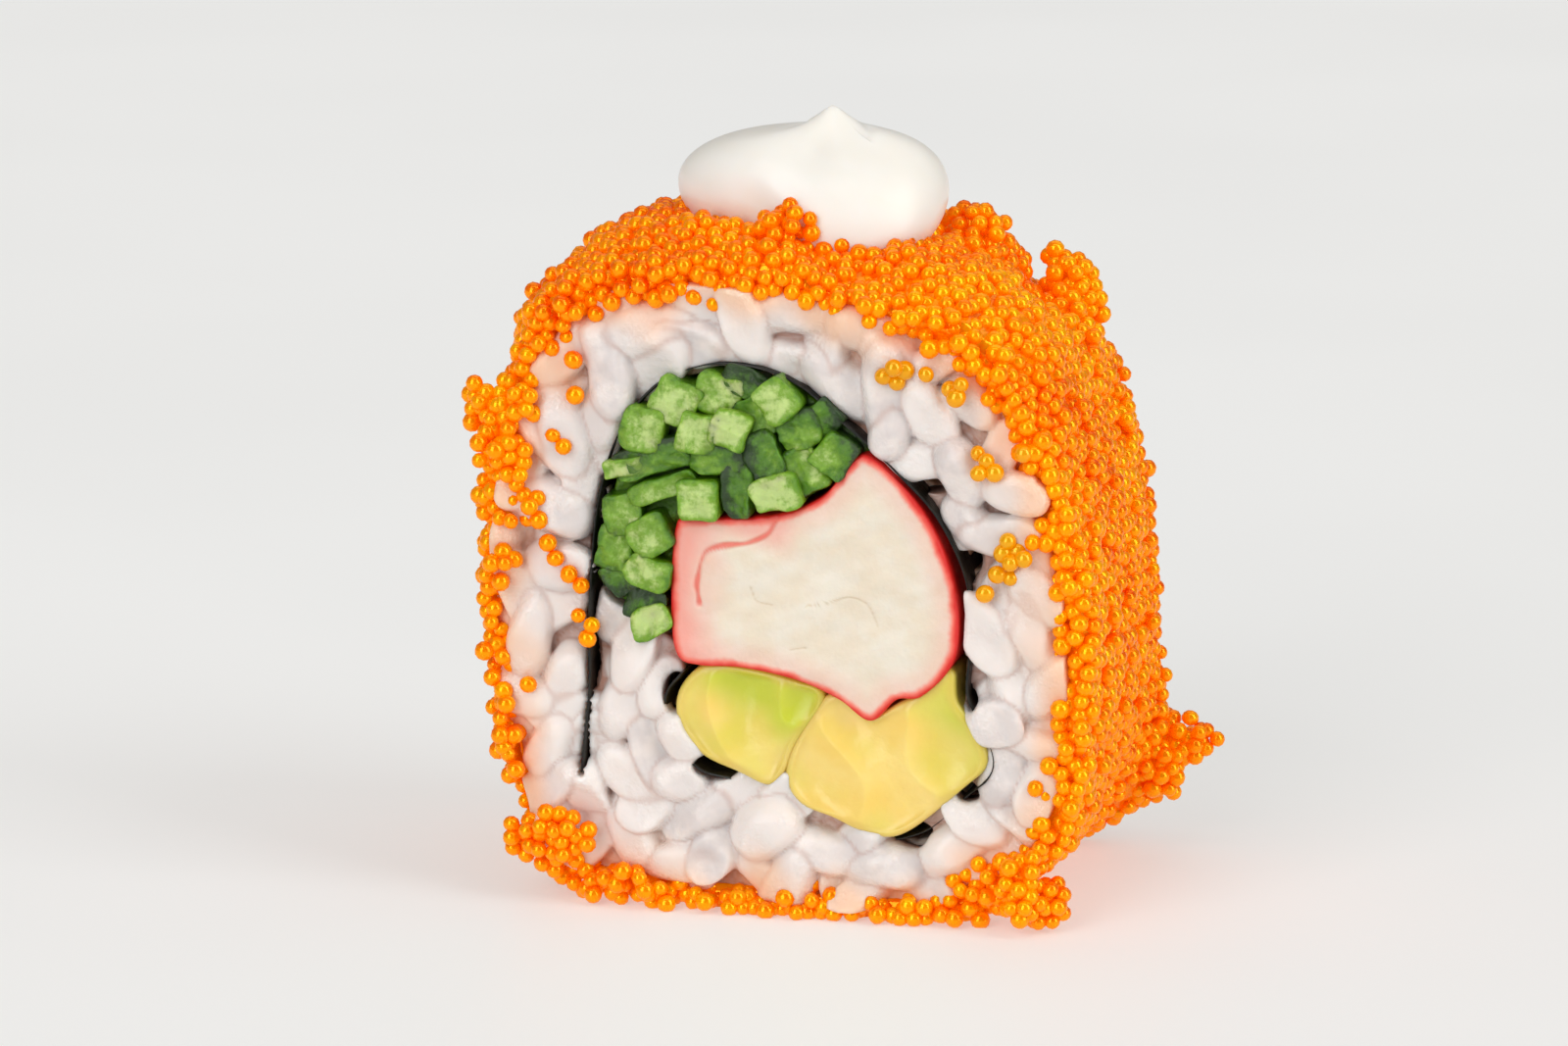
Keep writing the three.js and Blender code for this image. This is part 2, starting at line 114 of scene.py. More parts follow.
RICE_OUTLINE = [
    (0, 1.2), (9, 1.3), (15.5, 4.4), (18.6, 11), (18.6, 18.5), (17.5, 27.5), (13.4, 35.8), (6, 39.8),
    (-3, 41), (-11, 40.2), (-16, 35.4), (-18.4, 27), (-18.7, 18.5), (-17, 7.5), (-13.5, 2.3),
]
CRAB_OUTLINE = [
    (5.9, 30.9), (8.4, 29), (10.6, 25.9), (11.8, 22.4), (12, 19.5), (11.5, 17.3), (9.6, 15.3), (8, 15),
    (6.3, 13.5), (4.2, 14.8), (1.4, 15.9), (-2.2, 16.5), (-5, 16.5), (-6.5, 17.1), (-6.9, 20.2),
    (-6.6, 25.4), (-5.6, 26.2), (-2.1, 26.4), (0.6, 26.9), (3, 28), (4.6, 29.8),
]
AVOCADO_LEFT_OUTLINE = [
    (-4.6, 16.3), (-1.9, 16.3), (1.4, 15.6), (3, 14.8), (1.1, 11.6), (0.4, 9.8), (-0.5, 8.9),
    (-2.4, 9.6), (-4.8, 10.6), (-6.3, 12.4), (-6.3, 14.6),
]
AVOCADO_RIGHT_OUTLINE = [
    (3.4, 14.7), (4.8, 14.4), (6.3, 13.6), (8.3, 14.6), (10, 15.6), (11.4, 17), (11.7, 15), (12.8, 13.4),
    (13.7, 11.2), (12.2, 9.5), (8.6, 6.4), (6.4, 6), (3.8, 7), (1.7, 7.8), (0.8, 9.4), (1.5, 11.8),
]
CUCUMBER_OUTLINE = [
    (-7.6, 18.8), (-9.4, 19.6), (-11.5, 21.4), (-11.3, 25), (-10.9, 28), (-9.7, 31.2), (-7.7, 33.8),
    (-4.6, 35.3), (-1.6, 35.7), (1, 34.8), (5.9, 31.3), (2.9, 28.3), (0.6, 27.2), (-2.1, 26.7),
    (-5.7, 26.5), (-6.9, 25.6), (-7.3, 22.5),
]
NORI_PATH = [
    (-13, 8.8), (-12.6, 14), (-12.3, 22), (-11.8, 27), (-10.3, 31.6), (-7.6, 34.9), (-3.6, 36.3),
    (0.6, 35.6), (4.7, 32.6), (8.2, 29.6), (10.9, 26.4), (12.5, 22.4), (12.6, 18.2), (12.5, 15.4),
    (13.7, 13), (14.2, 10.6), (12.2, 8.4), (9.4, 5.9), (5.8, 5.2), (1.8, 6.7), (-2.2, 8.7),
    (-5.2, 9.4), (-7.2, 11.8), (-7.4, 14.2), (-6.2, 15.9),
]
rice_edge = spline(RICE_OUTLINE)
crab_edge = spline(CRAB_OUTLINE)
avocado_left_edge = spline(AVOCADO_LEFT_OUTLINE)
avocado_right_edge = spline(AVOCADO_RIGHT_OUTLINE)
cucumber_edge = spline(CUCUMBER_OUTLINE)
nori_line = spline(NORI_PATH, closed=False)
# Packing moved the drawing a little in x, to centre the solids' box
SHIFT_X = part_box("crab_stick")[0].x * 1000 - crab_edge[:, 0].min()
print(f"rice edge {len(rice_edge) * 0.5:.0f} mm round; shift to the packed frame {SHIFT_X:.2f} mm in x")

# %% [markdown]
# ## From numbers to a mesh
#
# A mesh is a list of points and a list of faces that name their corners. Each piece below is worked out
# as whole arrays, and this one function hands them to Blender. It also measures the volume that the faces
# enclose: if that comes out negative, the faces point inwards, and it turns them round.


# %% Points and faces into a piece
def piece(name, points, faces, material, node, values=None):
    """Makes an object of points in mm and faces of equal corner count, at the origin and in metres, with
    a named number for each point where `values` gives one, and ties it to the frame. The first corner of
    each triangle times the cross product of the other two, added up, is six times the volume."""
    points = np.asarray(points, float)
    faces = np.asarray(faces, np.int64)
    a, b, c = (points[faces[:, i]] for i in (0, 1, 2))
    sixfold = np.einsum("ij,ij->", a, np.cross(b, c))
    if faces.shape[1] == 4:
        sixfold += np.einsum("ij,ij->", a, np.cross(c, points[faces[:, 3]]))
    if sixfold < 0:
        faces = faces[:, ::-1]
    mesh = bpy.data.meshes.new(name)
    mesh.vertices.add(len(points))
    mesh.vertices.foreach_set("co", ((points + [SHIFT_X, 0, 0]) / 1000).ravel())
    mesh.loops.add(faces.size)
    mesh.loops.foreach_set("vertex_index", faces.ravel())
    mesh.polygons.add(len(faces))
    mesh.polygons.foreach_set("loop_start", np.arange(len(faces)) * faces.shape[1])
    mesh.update(calc_edges=True)
    mesh.validate()
    mesh.polygons.foreach_set("use_smooth", np.ones(len(mesh.polygons), bool))
    for key, number in (values or {}).items():
        held = mesh.attributes.new(key, "FLOAT", "POINT")
        held.data.foreach_set("value", np.asarray(number, np.float32).ravel())
    mesh.materials.append(material)
    made = bpy.data.objects.new(name, mesh)
    bpy.context.scene.collection.objects.link(made)
    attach(made, "root")
    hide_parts(node)
    triangles = len(faces) * (faces.shape[1] - 2)
    size = (points.max(0) - points.min(0)).round(1)
    print(f"{name}: {triangles} triangles, {abs(sixfold) / 6000:.2f} cubic cm, {size} mm")
    return made


def grid_faces(rows, columns, wrap_rows=False):
    """Four-sided faces between neighbours of a grid of points that is numbered row by row. Each row closes
    on itself, and with `wrap_rows` the last row meets the first."""
    i = np.arange(rows if wrap_rows else rows - 1)[:, None]
    j = np.arange(columns)[None, :]
    up, across = (i + 1) % rows, (j + 1) % columns
    corners = [i * columns + j, i * columns + across, up * columns + across, up * columns + j]
    return np.stack([np.broadcast_to(c, (i.size, j.size)).ravel() for c in corners], 1)


def smoothstep(value, low, high):
    """0 below low, 1 above high, and three t squared less two t cubed between."""
    t = np.clip((value - low) / (high - low), 0, 1)
    return t * t * (3 - 2 * t)


def mix(a, b, share):
    """The way from a to b by a share."""
    return a + (b - a) * share


def ripple(points, size, seed, waves=9):
    """A soft random number at each point, mostly from -1 to 1: the sum of sine waves about `size` mm long
    that run in random directions, divided by the root of half their count."""
    chance = np.random.default_rng(seed)
    heading = chance.normal(size=(waves, 3))
    heading /= np.linalg.norm(heading, axis=1)[:, None] * size * chance.uniform(0.7, 1.5, (waves, 1))
    phase = chance.uniform(0, 2 * math.pi, waves)
    return np.sin(points @ heading.T * 2 * math.pi + phase).sum(-1) / math.sqrt(waves / 2) / 1.5


def face_ripple(x, z, size, seed, waves=9):
    """A ripple over the cut face that is the same at every depth."""
    return ripple(np.stack([x, z, x * 0], -1), size, seed, waves)


print("a ripple at three places:", ripple(np.eye(3) * 10, 5, 1).round(2))


# %% [markdown]
# ## Finishes
#
# Food is wet and lets light in, so nearly every finish here is the Principled shader with some subsurface
# scattering, a fairly low roughness and a procedural pattern. Colours are written as the hex values that
# a picture would show, and one function turns them into the linear numbers that Blender reckons with. One
# more function adds a node with its settings and links. The pieces are measured in metres, so a noise
# whose blots are 2 mm across has a scale of 1000 / 2.


# %% Colour and node helpers
def colour(code):
    """The linear red, green, blue and alpha of a hex colour: a low value over 12.92, and a higher one
    plus 0.055, over 1.055, to the power 2.4."""
    parts = [int(code[i : i + 2], 16) / 255 for i in (0, 2, 4)]
    return [p / 12.92 if p <= 0.04045 else ((p + 0.055) / 1.055) ** 2.4 for p in parts] + [1.0]


def add(tree, kind, inputs=None, out=0, **settings):
    """Adds a node and gives one of its outputs: `settings` are the node's own properties, and `inputs`
    gives its sockets a link, a number or a hex colour."""
    node = tree.nodes.new("ShaderNode" + kind)
    for name, value in settings.items():
        setattr(node, name, value)
    for name, value in (inputs or {}).items():
        if isinstance(value, bpy.types.NodeSocket):
            tree.links.new(value, node.inputs[name])
        else:
            node.inputs[name].default_value = colour(value) if isinstance(value, str) else value
    return node.outputs[out]


def finish(name, **sockets):
    """A material with a Principled shader whose even properties are set on its own sockets."""
    made = bpy.data.materials.new(name)
    made.use_nodes = True
    shader = made.node_tree.nodes["Principled BSDF"]
    for key, value in sockets.items():
        shader.inputs[key.replace("_", " ")].default_value = value
    print("finish:", name)
    return made, made.node_tree, shader


def wire(tree, shader, **links):
    """Links what varies over the surface to the shader's sockets."""
    for key, value in links.items():
        tree.links.new(value, shader.inputs[key.replace("_", " ")])


# A Mix node that mixes colours: inputs 0, 6 and 7 are the share and the two colours
COLOURS = {"out": 2, "data_type": "RGBA"}
# A Map Range node that eases in and out: inputs 0, 1 and 2 are the value and the two ends of its range
SOFTLY = {"interpolation_type": "SMOOTHSTEP"}

# %% [markdown]
# ## Cooked rice, the finish
#
# Cooked short-grain rice is a moist starch gel. Light goes a little way in, so its edges glow and its
# creases stay pale, and a film of water lies on it in patches, with tiny glints. The film is the shader's
# coat, with a fine bump of its own. The mesh carries four numbers at each point: the tone of its grain,
# how much painted shade it gets where two grains meet and deep behind the cut face, how much roe has
# stained it and how much orange light from the roe is painted on it, and how much painted dark shade it
# gets in the deepest hollows.

# %% Rice finish
steamed_rice, tree, shader = finish(
    "steamed_rice", Roughness=0.38, IOR=1.42, Subsurface_Weight=0.7, Subsurface_Scale=0.0012,
    Subsurface_Radius=(1.0, 0.8, 0.68), Coat_IOR=1.7, Coat_Roughness=0.06,
)
place = add(tree, "TexCoord", out="Object")
tone, crease, roe_stain_and_glow, painted_hollow_shade = (
    add(tree, "Attribute", out="Fac", attribute_name=name) for name in ("tone", "crease", "roe_stain_and_glow", "painted_hollow_shade")
)
# Each noise has its blots in mm, its detail and its roughness
cloud, film, pimples, flakes, glints = (
    add(tree, "TexNoise", {"Vector": place, "Scale": 1000 / size, "Detail": detail, "Roughness": rough})
    for size, detail, rough in ((1.6, 3, 0.5), (3.2, 1, 0.5), (0.34, 2, 0.5), (1.1, 3, 0.5), (0.35, 3, 0.6))
)
cloud = add(tree, "MapRange", {0: cloud, 1: 0.35, 2: 0.7}, **SOFTLY)
body = "D2CAC8"
# The crease colour is painted shade where grains meet and deep behind the face, the roe colour is part stain
# and part painted orange light from the roe, and the near-black brown is painted shade in the deepest
# hollows
for share, over in (
    (tone, "EBE3DE"), (cloud, "E7DED9"), (crease, "B98A78"), (roe_stain_and_glow, "F3BE92"), (painted_hollow_shade, "30160E"),
):
    body = add(tree, "Mix", {0: share, 6: body, 7: over}, **COLOURS)
film = add(tree, "MapRange", {0: film, 1: 0.42, 2: 0.6}, **SOFTLY)
wetness = add(tree, "Math", {0: film, 1: 0.75, 2: 0.15}, operation="MULTIPLY_ADD")
pimples = add(tree, "Math", {0: pimples, 1: film}, operation="MULTIPLY")
uneven = add(tree, "Math", {0: flakes, 1: 0.7, 2: pimples}, operation="MULTIPLY_ADD")
rough_skin = add(tree, "Bump", {"Height": uneven, "Distance": 0.14 / 1000, "Strength": 0.8})
wet_skin = add(tree, "Bump", {"Height": glints, "Distance": 0.2 / 1000, "Strength": 1.0})
wire(tree, shader, Base_Color=body, Coat_Weight=wetness, Normal=rough_skin, Coat_Normal=wet_skin)

# %% [markdown]
# ## Cooked rice, the shape
#
# The grains stick together, so a heap of separate ellipsoids would look like beads. Instead each grain
# gives a distance field, which is less than zero inside it. The fields are joined with a soft minimum, so
# that neighbours melt into each other as sticky grains do, and each grain has its own cutting depth, as
# a knife leaves them. The fillings and the nori then press their shapes into the field.


# %% Distance to an outline
def apart(points, line, closed=True):
    """How far each (x, z) point lies from a line, negative inside a closed one: the distance to the
    nearest sample, or close by, the part of it along the normal."""
    flat = points.reshape(-1, 2)
    normal = outward(line) if closed else None
    found = np.empty(len(flat))
    for first in range(0, len(flat), 8192):
        some = flat[first : first + 8192]
        square = ((some[:, None] - line[None]) ** 2).sum(-1)
        nearest = square.argmin(1)
        away = some - line[nearest]
        length = np.sqrt(square[np.arange(len(some)), nearest])
        if closed:
            along = (away * normal[nearest]).sum(1)
            length = np.where(length < 0.5, along, np.sign(along) * length)
        found[first : first + 8192] = length
    return found.reshape(points.shape[:-1])


print(f"the crab stick's middle lies {-apart(np.array([2.6, 21.6]), crab_edge):.1f} mm inside its edge")

# %% [markdown]
# Rice fills what the other pieces leave: it lies inside its own outline, outside the fillings and what the
# nori wraps, and it has a few holes beside the nori. One grain at the right lies over the roe. All of this
# is one field over (x, z), since it is the same at every depth.

# %% Room for rice
# Holes in the rice of the cut faces, beside the nori: (x, z, half width, half height)
HOLLOWS = [
    (-6.8, 14.4, 0.8, 1.3), (-4.1, 9.6, 1.5, 0.8), (8.8, 5.7, 1.0, 0.7), (10, 29, 0.8, 0.4),
    (12.6, 23.9, 0.5, 0.8), (12.7, 15, 0.4, 0.6), (12.5, 8.7, 0.7, 0.4),
]
# What the nori wraps: no rice gets in between it and the fillings
WRAPPED = [
    (-12, 21.4), (-11.5, 27), (-10, 31.3), (-7.5, 34.4), (-3.6, 35.8), (0.5, 35.3), (4.5, 32.4), (8.1, 29.5),
    (10.9, 26.2), (12.3, 22.4), (12.4, 19.5), (12.1, 17.3), (12, 15.4), (12.6, 13.4), (13.1, 11.2),
    (11.5, 9.7), (8.4, 7.1), (6.4, 6.8), (4, 7.8), (2, 8.6), (0.2, 9.8), (-2.2, 10.2), (-4.4, 11.2),
    (-5.9, 12.8), (-6.3, 14.6), (-6.4, 16.4), (-7.3, 17.8), (-9.2, 19.2),
]
wrapped_edge = spline(WRAPPED)
FREE_NORI = 40  # samples of the nori's line, from its outer end, that have rice on both sides


def over_roe(x, z):
    """Below zero inside the one grain that lies over the roe at the right: an ellipse, leaning a little."""
    return np.hypot((x - 15.9) / 2.1, (z - 28.7 + 0.14 * (x - 15.9)) / 1.45) - 1


def rice_room(x, z):
    """Less than zero where rice may be: inside its outline or the grain over the roe, outside the
    fillings, what the nori wraps and the hollows, and off the stretch of nori with rice on both sides."""
    at = np.stack(np.broadcast_arrays(x, z), -1)
    room = np.minimum(apart(at, rice_edge) - 0.3, over_roe(at[..., 0], at[..., 1]) * 1.5)
    for edge in (crab_edge, avocado_left_edge, avocado_right_edge, cucumber_edge, wrapped_edge):
        room = np.maximum(room, -0.1 - apart(at, edge))
    slit = 0.2 + 0.06 * face_ripple(at[..., 0], at[..., 1], 3, 17)
    room = np.maximum(room, slit - apart(at, nori_line[:FREE_NORI], closed=False))
    for cx, cz, half_x, half_z in HOLLOWS:
        share = np.hypot((at[..., 0] - cx) / half_x, (at[..., 1] - cz) / half_z)
        room = np.maximum(room, (1 - share) * min(half_x, half_z))
    return room


x, z = np.meshgrid(np.arange(-20, 20, 0.5), np.arange(0, 42, 0.5))
print(f"room for rice: {(rice_room(x, z) < 0).sum() * 0.25:.0f} square mm of a cut face")

# %% [markdown]
# A field becomes a mesh where it passes through zero. Blender's metaballs do this too, but they allow only
# a few plain shapes and don't say which grain a point belongs to. So the surface is found here, on a grid
# of small cells: one point in each cell that the surface crosses, joined to its neighbours.


# %% The skin of a field
def skin(field, axes):
    """The surface where a field on a grid passes through zero, as points and four-sided faces. Each cell
    with a crossing gets one point, at the mean of the crossings on its edges, and each crossed grid edge
    gets a face between the four cells round it. Where the inside lies below the outside along the edge,
    the face runs one way round, and otherwise the other."""
    shape = np.array(field.shape) - 1
    total, count = np.zeros((*shape, 3), np.float32), np.zeros(shape, np.float32)
    inside = field < 0
    step = [np.arange(n, dtype=np.float32) for n in field.shape]
    crossings = []
    for axis in range(3):
        u, v = (axis + 1) % 3, (axis + 2) % 3
        low, high = (np.take(field, range(s, field.shape[axis] - 1 + s), axis) for s in (0, 1))
        low_in, high_in = (np.take(inside, range(s, field.shape[axis] - 1 + s), axis) for s in (0, 1))
        crossed = low_in != high_in
        way = np.where(crossed, low / np.where(crossed, low - high, 1), 0)
        crossings.append((crossed, low_in))
        index = [s[:-1] if a == axis else s for a, s in enumerate(step)]
        spot = np.stack(np.meshgrid(*index, indexing="ij"), -1)
        spot[..., axis] += way
        spot *= crossed[..., None]
        for du in (0, 1):
            for dv in (0, 1):
                part = [slice(None)] * 3
                part[u] = slice(du, du + shape[u])
                part[v] = slice(dv, dv + shape[v])
                total += spot[tuple(part)]
                count += crossed[tuple(part)]
    used = count > 0
    number = np.full(shape, -1)
    number[used] = np.arange(used.sum())
    spots = total[used] / count[used][:, None]
    faces = []
    for axis in range(3):
        u, v = (axis + 1) % 3, (axis + 2) % 3
        crossed, low_in = crossings[axis]
        inner = [slice(None)] * 3
        inner[u] = inner[v] = slice(1, -1)
        at = np.argwhere(crossed[tuple(inner)])
        at[:, u] += 1
        at[:, v] += 1
        corner = []
        for du, dv in ((-1, -1), (0, -1), (0, 0), (-1, 0)):
            cell = at.copy()
            cell[:, u] += du
            cell[:, v] += dv
            corner.append(number[tuple(cell.T)])
        face = np.stack(corner, 1)
        outwards = low_in[tuple(at.T)]
        faces.append(np.where(outwards[:, None], face, face[:, ::-1]))
    cells = np.argwhere(used)
    points = np.stack([np.interp(spots[:, a], step[a], axes[a]) for a in range(3)], 1)
    return points, np.vstack(faces), cells


side = np.linspace(-1.2, 1.2, 25)
round_field = np.sqrt(side[:, None, None] ** 2 + side[:, None] ** 2 + side**2) - 1
ball_points, ball_faces, _ = skin(round_field, [side] * 3)
print(f"a ball on a coarse grid: {len(ball_points)} points and {len(ball_faces)} faces")


# %% [markdown]
# A grain is a barrel with rounded ends. In the field, the distance to one is the length of a vector that
# holds the way along the grain over its half length and the way across it over its half width, less one.
# A power of 2.4 in place of 2 makes the ends blunter than an ellipsoid's.


# %% The field of many grains
SOFTNESS = 0.08  # mm over which neighbouring grains melt into each other
BLUNTNESS = 2.4  # the power that rounds a grain's ends
BEND = 0.14  # mm by which a ripple bends the grains


def soft_max(a, b, over):
    """The larger of two fields, rounded where they meet: the logarithm of the sum of their exponentials,
    with both measured in units of `over` mm."""
    return np.logaddexp(a / over, b / over) * over


print(f"where two fields are 0, the rounded larger one is {soft_max(0, 0, SOFTNESS):.3f} mm")


def grain_field(axes, grains):
    """The soft minimum of the grains' fields, the nearest grain at each place, and how much further off
    the second nearest is. A grain is (x, depth, z, axis, half length, half width, knife depth, the knife's
    two leans). The soft minimum is the negative logarithm of the sum of exp(-distance). All places are
    bent a little by a ripple, so that no grain is quite regular."""
    shape = tuple(len(a) for a in axes)
    total = np.zeros(shape, np.float32)
    best, second = np.full(shape, 9, np.float32), np.full(shape, 9, np.float32)
    at = np.stack(np.meshgrid(*[a.astype(np.float32) for a in axes], indexing="ij"), -1)
    bent = [BEND * ripple(at, 4, 200 + n, 6).astype(np.float32) for n in range(3)]
    owner = np.zeros(shape, np.int32)
    for n, (x, y, z, axis, half, width, knife, lean_x, lean_z) in enumerate(grains):
        part = tuple(
            slice(*np.searchsorted(a, (c - half - 0.6, c + half + 0.6))) for a, c in zip(axes, (x, y, z))
        )
        dx, dy, dz = np.meshgrid(
            *[a[p] - c for a, p, c in zip(axes, part, (x, y, z))], indexing="ij", sparse=True
        )
        dx, dy, dz = (d + b[part] for d, b in zip((dx, dy, dz), bent))
        along = dx * axis[0] + dy * axis[1] + dz * axis[2]
        across = np.sqrt(np.maximum(dx**2 + dy**2 + dz**2 - along**2, 0))
        distance = ((np.abs(along) / half) ** BLUNTNESS + (across / width) ** BLUNTNESS) ** (1 / BLUNTNESS)
        distance = (distance - 1) * width
        cut = knife - y - dy + lean_x * dx + lean_z * dz
        distance = soft_max(distance, cut, SOFTNESS)
        total[part] += np.exp(np.clip(-distance / SOFTNESS, -30, 30))
        nearer = distance < best[part]
        second[part] = np.where(nearer, best[part], np.minimum(second[part], distance))
        owner[part] = np.where(nearer, n, owner[part])
        best[part] = np.where(nearer, distance, best[part])
    return -SOFTNESS * np.log(np.maximum(total, 1e-12)), owner, second - best


# %% [markdown]
# The grains that catch the eye in the cut face are placed one by one: along the top, down the right
# shoulder, down the left side, along the bottom and up the right side. The rest fill the room between
# them, along a spread-out sequence that leaves no rows or clusters.

# %% Grains of the cut face
# Each is (x, z, length, width, turn anticlockwise in degrees, how far it stands out of the face)
PLACED_GRAINS = [
    (-8.6, 38, 7.2, 4.4, 12, 0.5), (-2.9, 37.2, 5.4, 2.7, -12, -0.2), (0.4, 39.9, 6.6, 3, -6, 0.1),
    (5.4, 38.9, 5.6, 3, -14, 0.2), (0.6, 36.7, 4.4, 2.3, -10, -0.3), (3.9, 35.4, 6.8, 3.6, -38, 0.1),
    (7.2, 37.4, 4.2, 2.8, -35, 0.3), (7.4, 32.3, 4, 2.8, 80, 0.6), (9.7, 33.9, 5.6, 3.2, -58, 0.5),
    (8.9, 30.4, 4.3, 2.8, 10, 0.3), (11.9, 30, 5, 3.2, -60, 0.7), (15.7, 28.9, 4.4, 2.8, -12, 1),
    (12.3, 26.9, 4.2, 2.8, -50, 0.2), (12.6, 34.4, 4, 2.8, -40, 0), (-11.3, 33, 6.6, 3.2, 80, 0.3),
    (-14.3, 31.2, 6.8, 3.8, -75, 0.5), (-11.6, 29.8, 3.6, 2.2, 70, -0.3), (-14.8, 35.8, 4.6, 3.2, 45, 0.1),
    (-14.9, 26.2, 6.2, 3.8, -20, 0.6), (-18.6, 24, 3.6, 2.8, 60, 0.3), (-16.6, 17.6, 6, 2.9, 82, 0.5),
    (-14.2, 15.2, 4.6, 3, 65, 0.1), (-17, 13.6, 4.4, 3, -15, 0.4), (-15.2, 10.4, 5, 3.2, 60, 0.1),
    (-10.8, 19.6, 5, 3, 75, -0.3), (-7.9, 14.6, 4.8, 3, 60, 0.1), (-10.6, 13.2, 5, 3.2, 80, 0.1),
    (-6.4, 11.4, 4.2, 3, -55, 0.3), (-6.7, 8.6, 4, 3, 10, 0.4), (-5.4, 6.3, 5.4, 3.2, 30, 0.3),
    (-9.6, 4.3, 5, 3.2, -60, 0.2), (-6, 3.2, 6.2, 3, 8, 0.5), (-0.7, 5.8, 5, 4.2, 35, 1.1),
    (3, 4.4, 5.4, 3.2, -15, 0.2), (7, 3.6, 5.6, 3.2, 5, 0.3), (11.6, 5, 5.2, 3.2, 35, 0.3),
    (14.8, 10.5, 6, 3.4, 78, 0), (15.4, 16.5, 7, 3.6, 88, 0), (15, 21.5, 6, 3.2, 95, 0.1),
]
SPREAD_STEPS = [0.7548776662, 0.569840291]  # steps whose multiples, less whole ones, fill a square evenly


def smear(x, z):
    """How far the knife has smeared the rice flat, from 0 to 1: a band at the right."""
    return 0.85 * smoothstep(x, 11.5, 13.5) * smoothstep(z, 7, 10) * smoothstep(25 - z, 0, 3)


def cut_face_grains(seed, placed):
    """The placed grains and enough others to fill the face: each point of the sequence that lies in the
    rice and clear of the others gets a grain that is turned at random, in two layers of depth."""
    chance = np.random.default_rng(seed)
    grains = []
    for x, z, length, width, turn, proud in placed:
        angle = math.radians(turn)
        axis = np.array([math.cos(angle), 0, math.sin(angle)])
        lean = chance.normal(0, 0.16, 2)
        grains.append((x, width / 2 - proud, z, axis, length / 2, width / 2, -proud + 0.25, *lean))
    at = (0.5 + np.arange(2600)[:, None] * SPREAD_STEPS) % 1 * [40, 42] + [-20, 0.5]
    room = rice_room(at[:, 0], at[:, 1])
    for layer, clear, deep in ((0, 2.35, 1.1), (1, 2.3, 2.5)):
        taken = [(g[0], g[2]) for g in grains if layer == 0]
        for (x, z), free in zip(at, room):
            if free > -0.75:
                continue
            if taken and min((x - a) ** 2 + (z - b) ** 2 for a, b in taken) < clear**2:
                continue
            taken.append((x, z))
            axis = chance.normal(size=3) * [1, 0.35, 1]
            axis /= np.linalg.norm(axis)
            half, width = chance.uniform(2.6, 3.8), chance.uniform(1.25, 1.75)
            flat = smear(x, z)
            proud = mix(chance.uniform(-0.75, 0.35), 0.1, flat) - layer
            lean = chance.normal(0, 0.2, 2) * (1 - flat)
            grains.append((x, deep + chance.uniform(-0.3, 0.3), z, axis, half, width, -proud, *lean))
    print(f"{len(placed)} grains placed, {len(grains) - len(placed)} grains between them")
    return grains


# %% [markdown]
# The rice is made in three pieces, because the two cut faces need fine cells and the middle, which the roe
# hides, doesn't. The front one holds the grains of the photographed face. The back one has grains of its
# own, as the other side of a slice does.


# %% The two cut faces of the rice
def rice_face(name, side, seed, cell, placed):
    """One end of the rice: the field on a grid of x, depth behind the cut face, and z, kept inside the
    rice's room, with a core a little behind the face that closes the holes between the grains. It has
    painted shade where two grains meet and in the depth, the roe's stain with painted orange light from
    the roe near it, and painted dark shade in the deepest hollows."""
    axes = [np.arange(-20.4, 20.4, cell), np.arange(-1.9, 3.2, cell), np.arange(0.2, 42.6, cell)]
    grains = cut_face_grains(seed, placed)
    field, owner, crease = grain_field(axes, grains)
    x, depth, z = np.meshgrid(*axes, indexing="ij", sparse=True)
    room = rice_room(x[:, 0], z[:, 0])[:, None]
    core = np.maximum(1.5 - depth + 0 * x + 0 * z, room + 0.3)
    field = soft_max(np.minimum(field, core), room, 0.1)
    field = np.maximum(field, depth - 3.1)
    points, faces, cells = skin(field.astype(np.float32), axes)
    whose = owner[tuple(cells.T)]
    tone = np.random.default_rng(seed + 1).uniform(0, 1, len(grains))[whose]
    # Painted shade: darker where two grains meet and deeper than 0.9 mm behind the cut face
    meeting = 1 - smoothstep(crease[tuple(cells.T)], 0.0, 0.18)
    painted_shade = 0.34 * meeting + 0.8 * smoothstep(points[:, 1], 0.9, 1.6)
    points[:, 1] = side * (HALF - points[:, 1])
    away = -apart(points[:, [0, 2]], rice_edge)
    # Roe stain and painted orange light from the roe, within about 3 mm of the rice's outline
    roe_stain_and_glow = (1 - smoothstep(away + ripple(points, 5, 3) * 0.9, 0, 3.2)) * 0.7
    # Painted shade: near-black brown in the hollows more than 1.7 mm behind the cut face
    painted_hollow_shade = smoothstep(HALF - np.abs(points[:, 1]), 1.7, 2.3) * smoothstep(away, 1, 1.8)
    values = {"tone": tone, "crease": np.minimum(painted_shade, 1), "roe_stain_and_glow": roe_stain_and_glow, "painted_hollow_shade": painted_hollow_shade}
    piece(name, points, faces, steamed_rice, "rice", values)


rice_face("rice_front", -1, 11, 0.18, PLACED_GRAINS)
rice_face("rice_back", 1, 23, 0.28, [])

# %% [markdown]
# Between the two cut faces, the rice shows only where the roe coat is thin, on the left. There the grains
# lie along the side of the roll, so the middle piece is the same kind of field, on a coarser grid.


# %% The side of the rice
NO_KNIFE = (-99, 0, 0)  # a cut so far outside that it leaves the grain whole


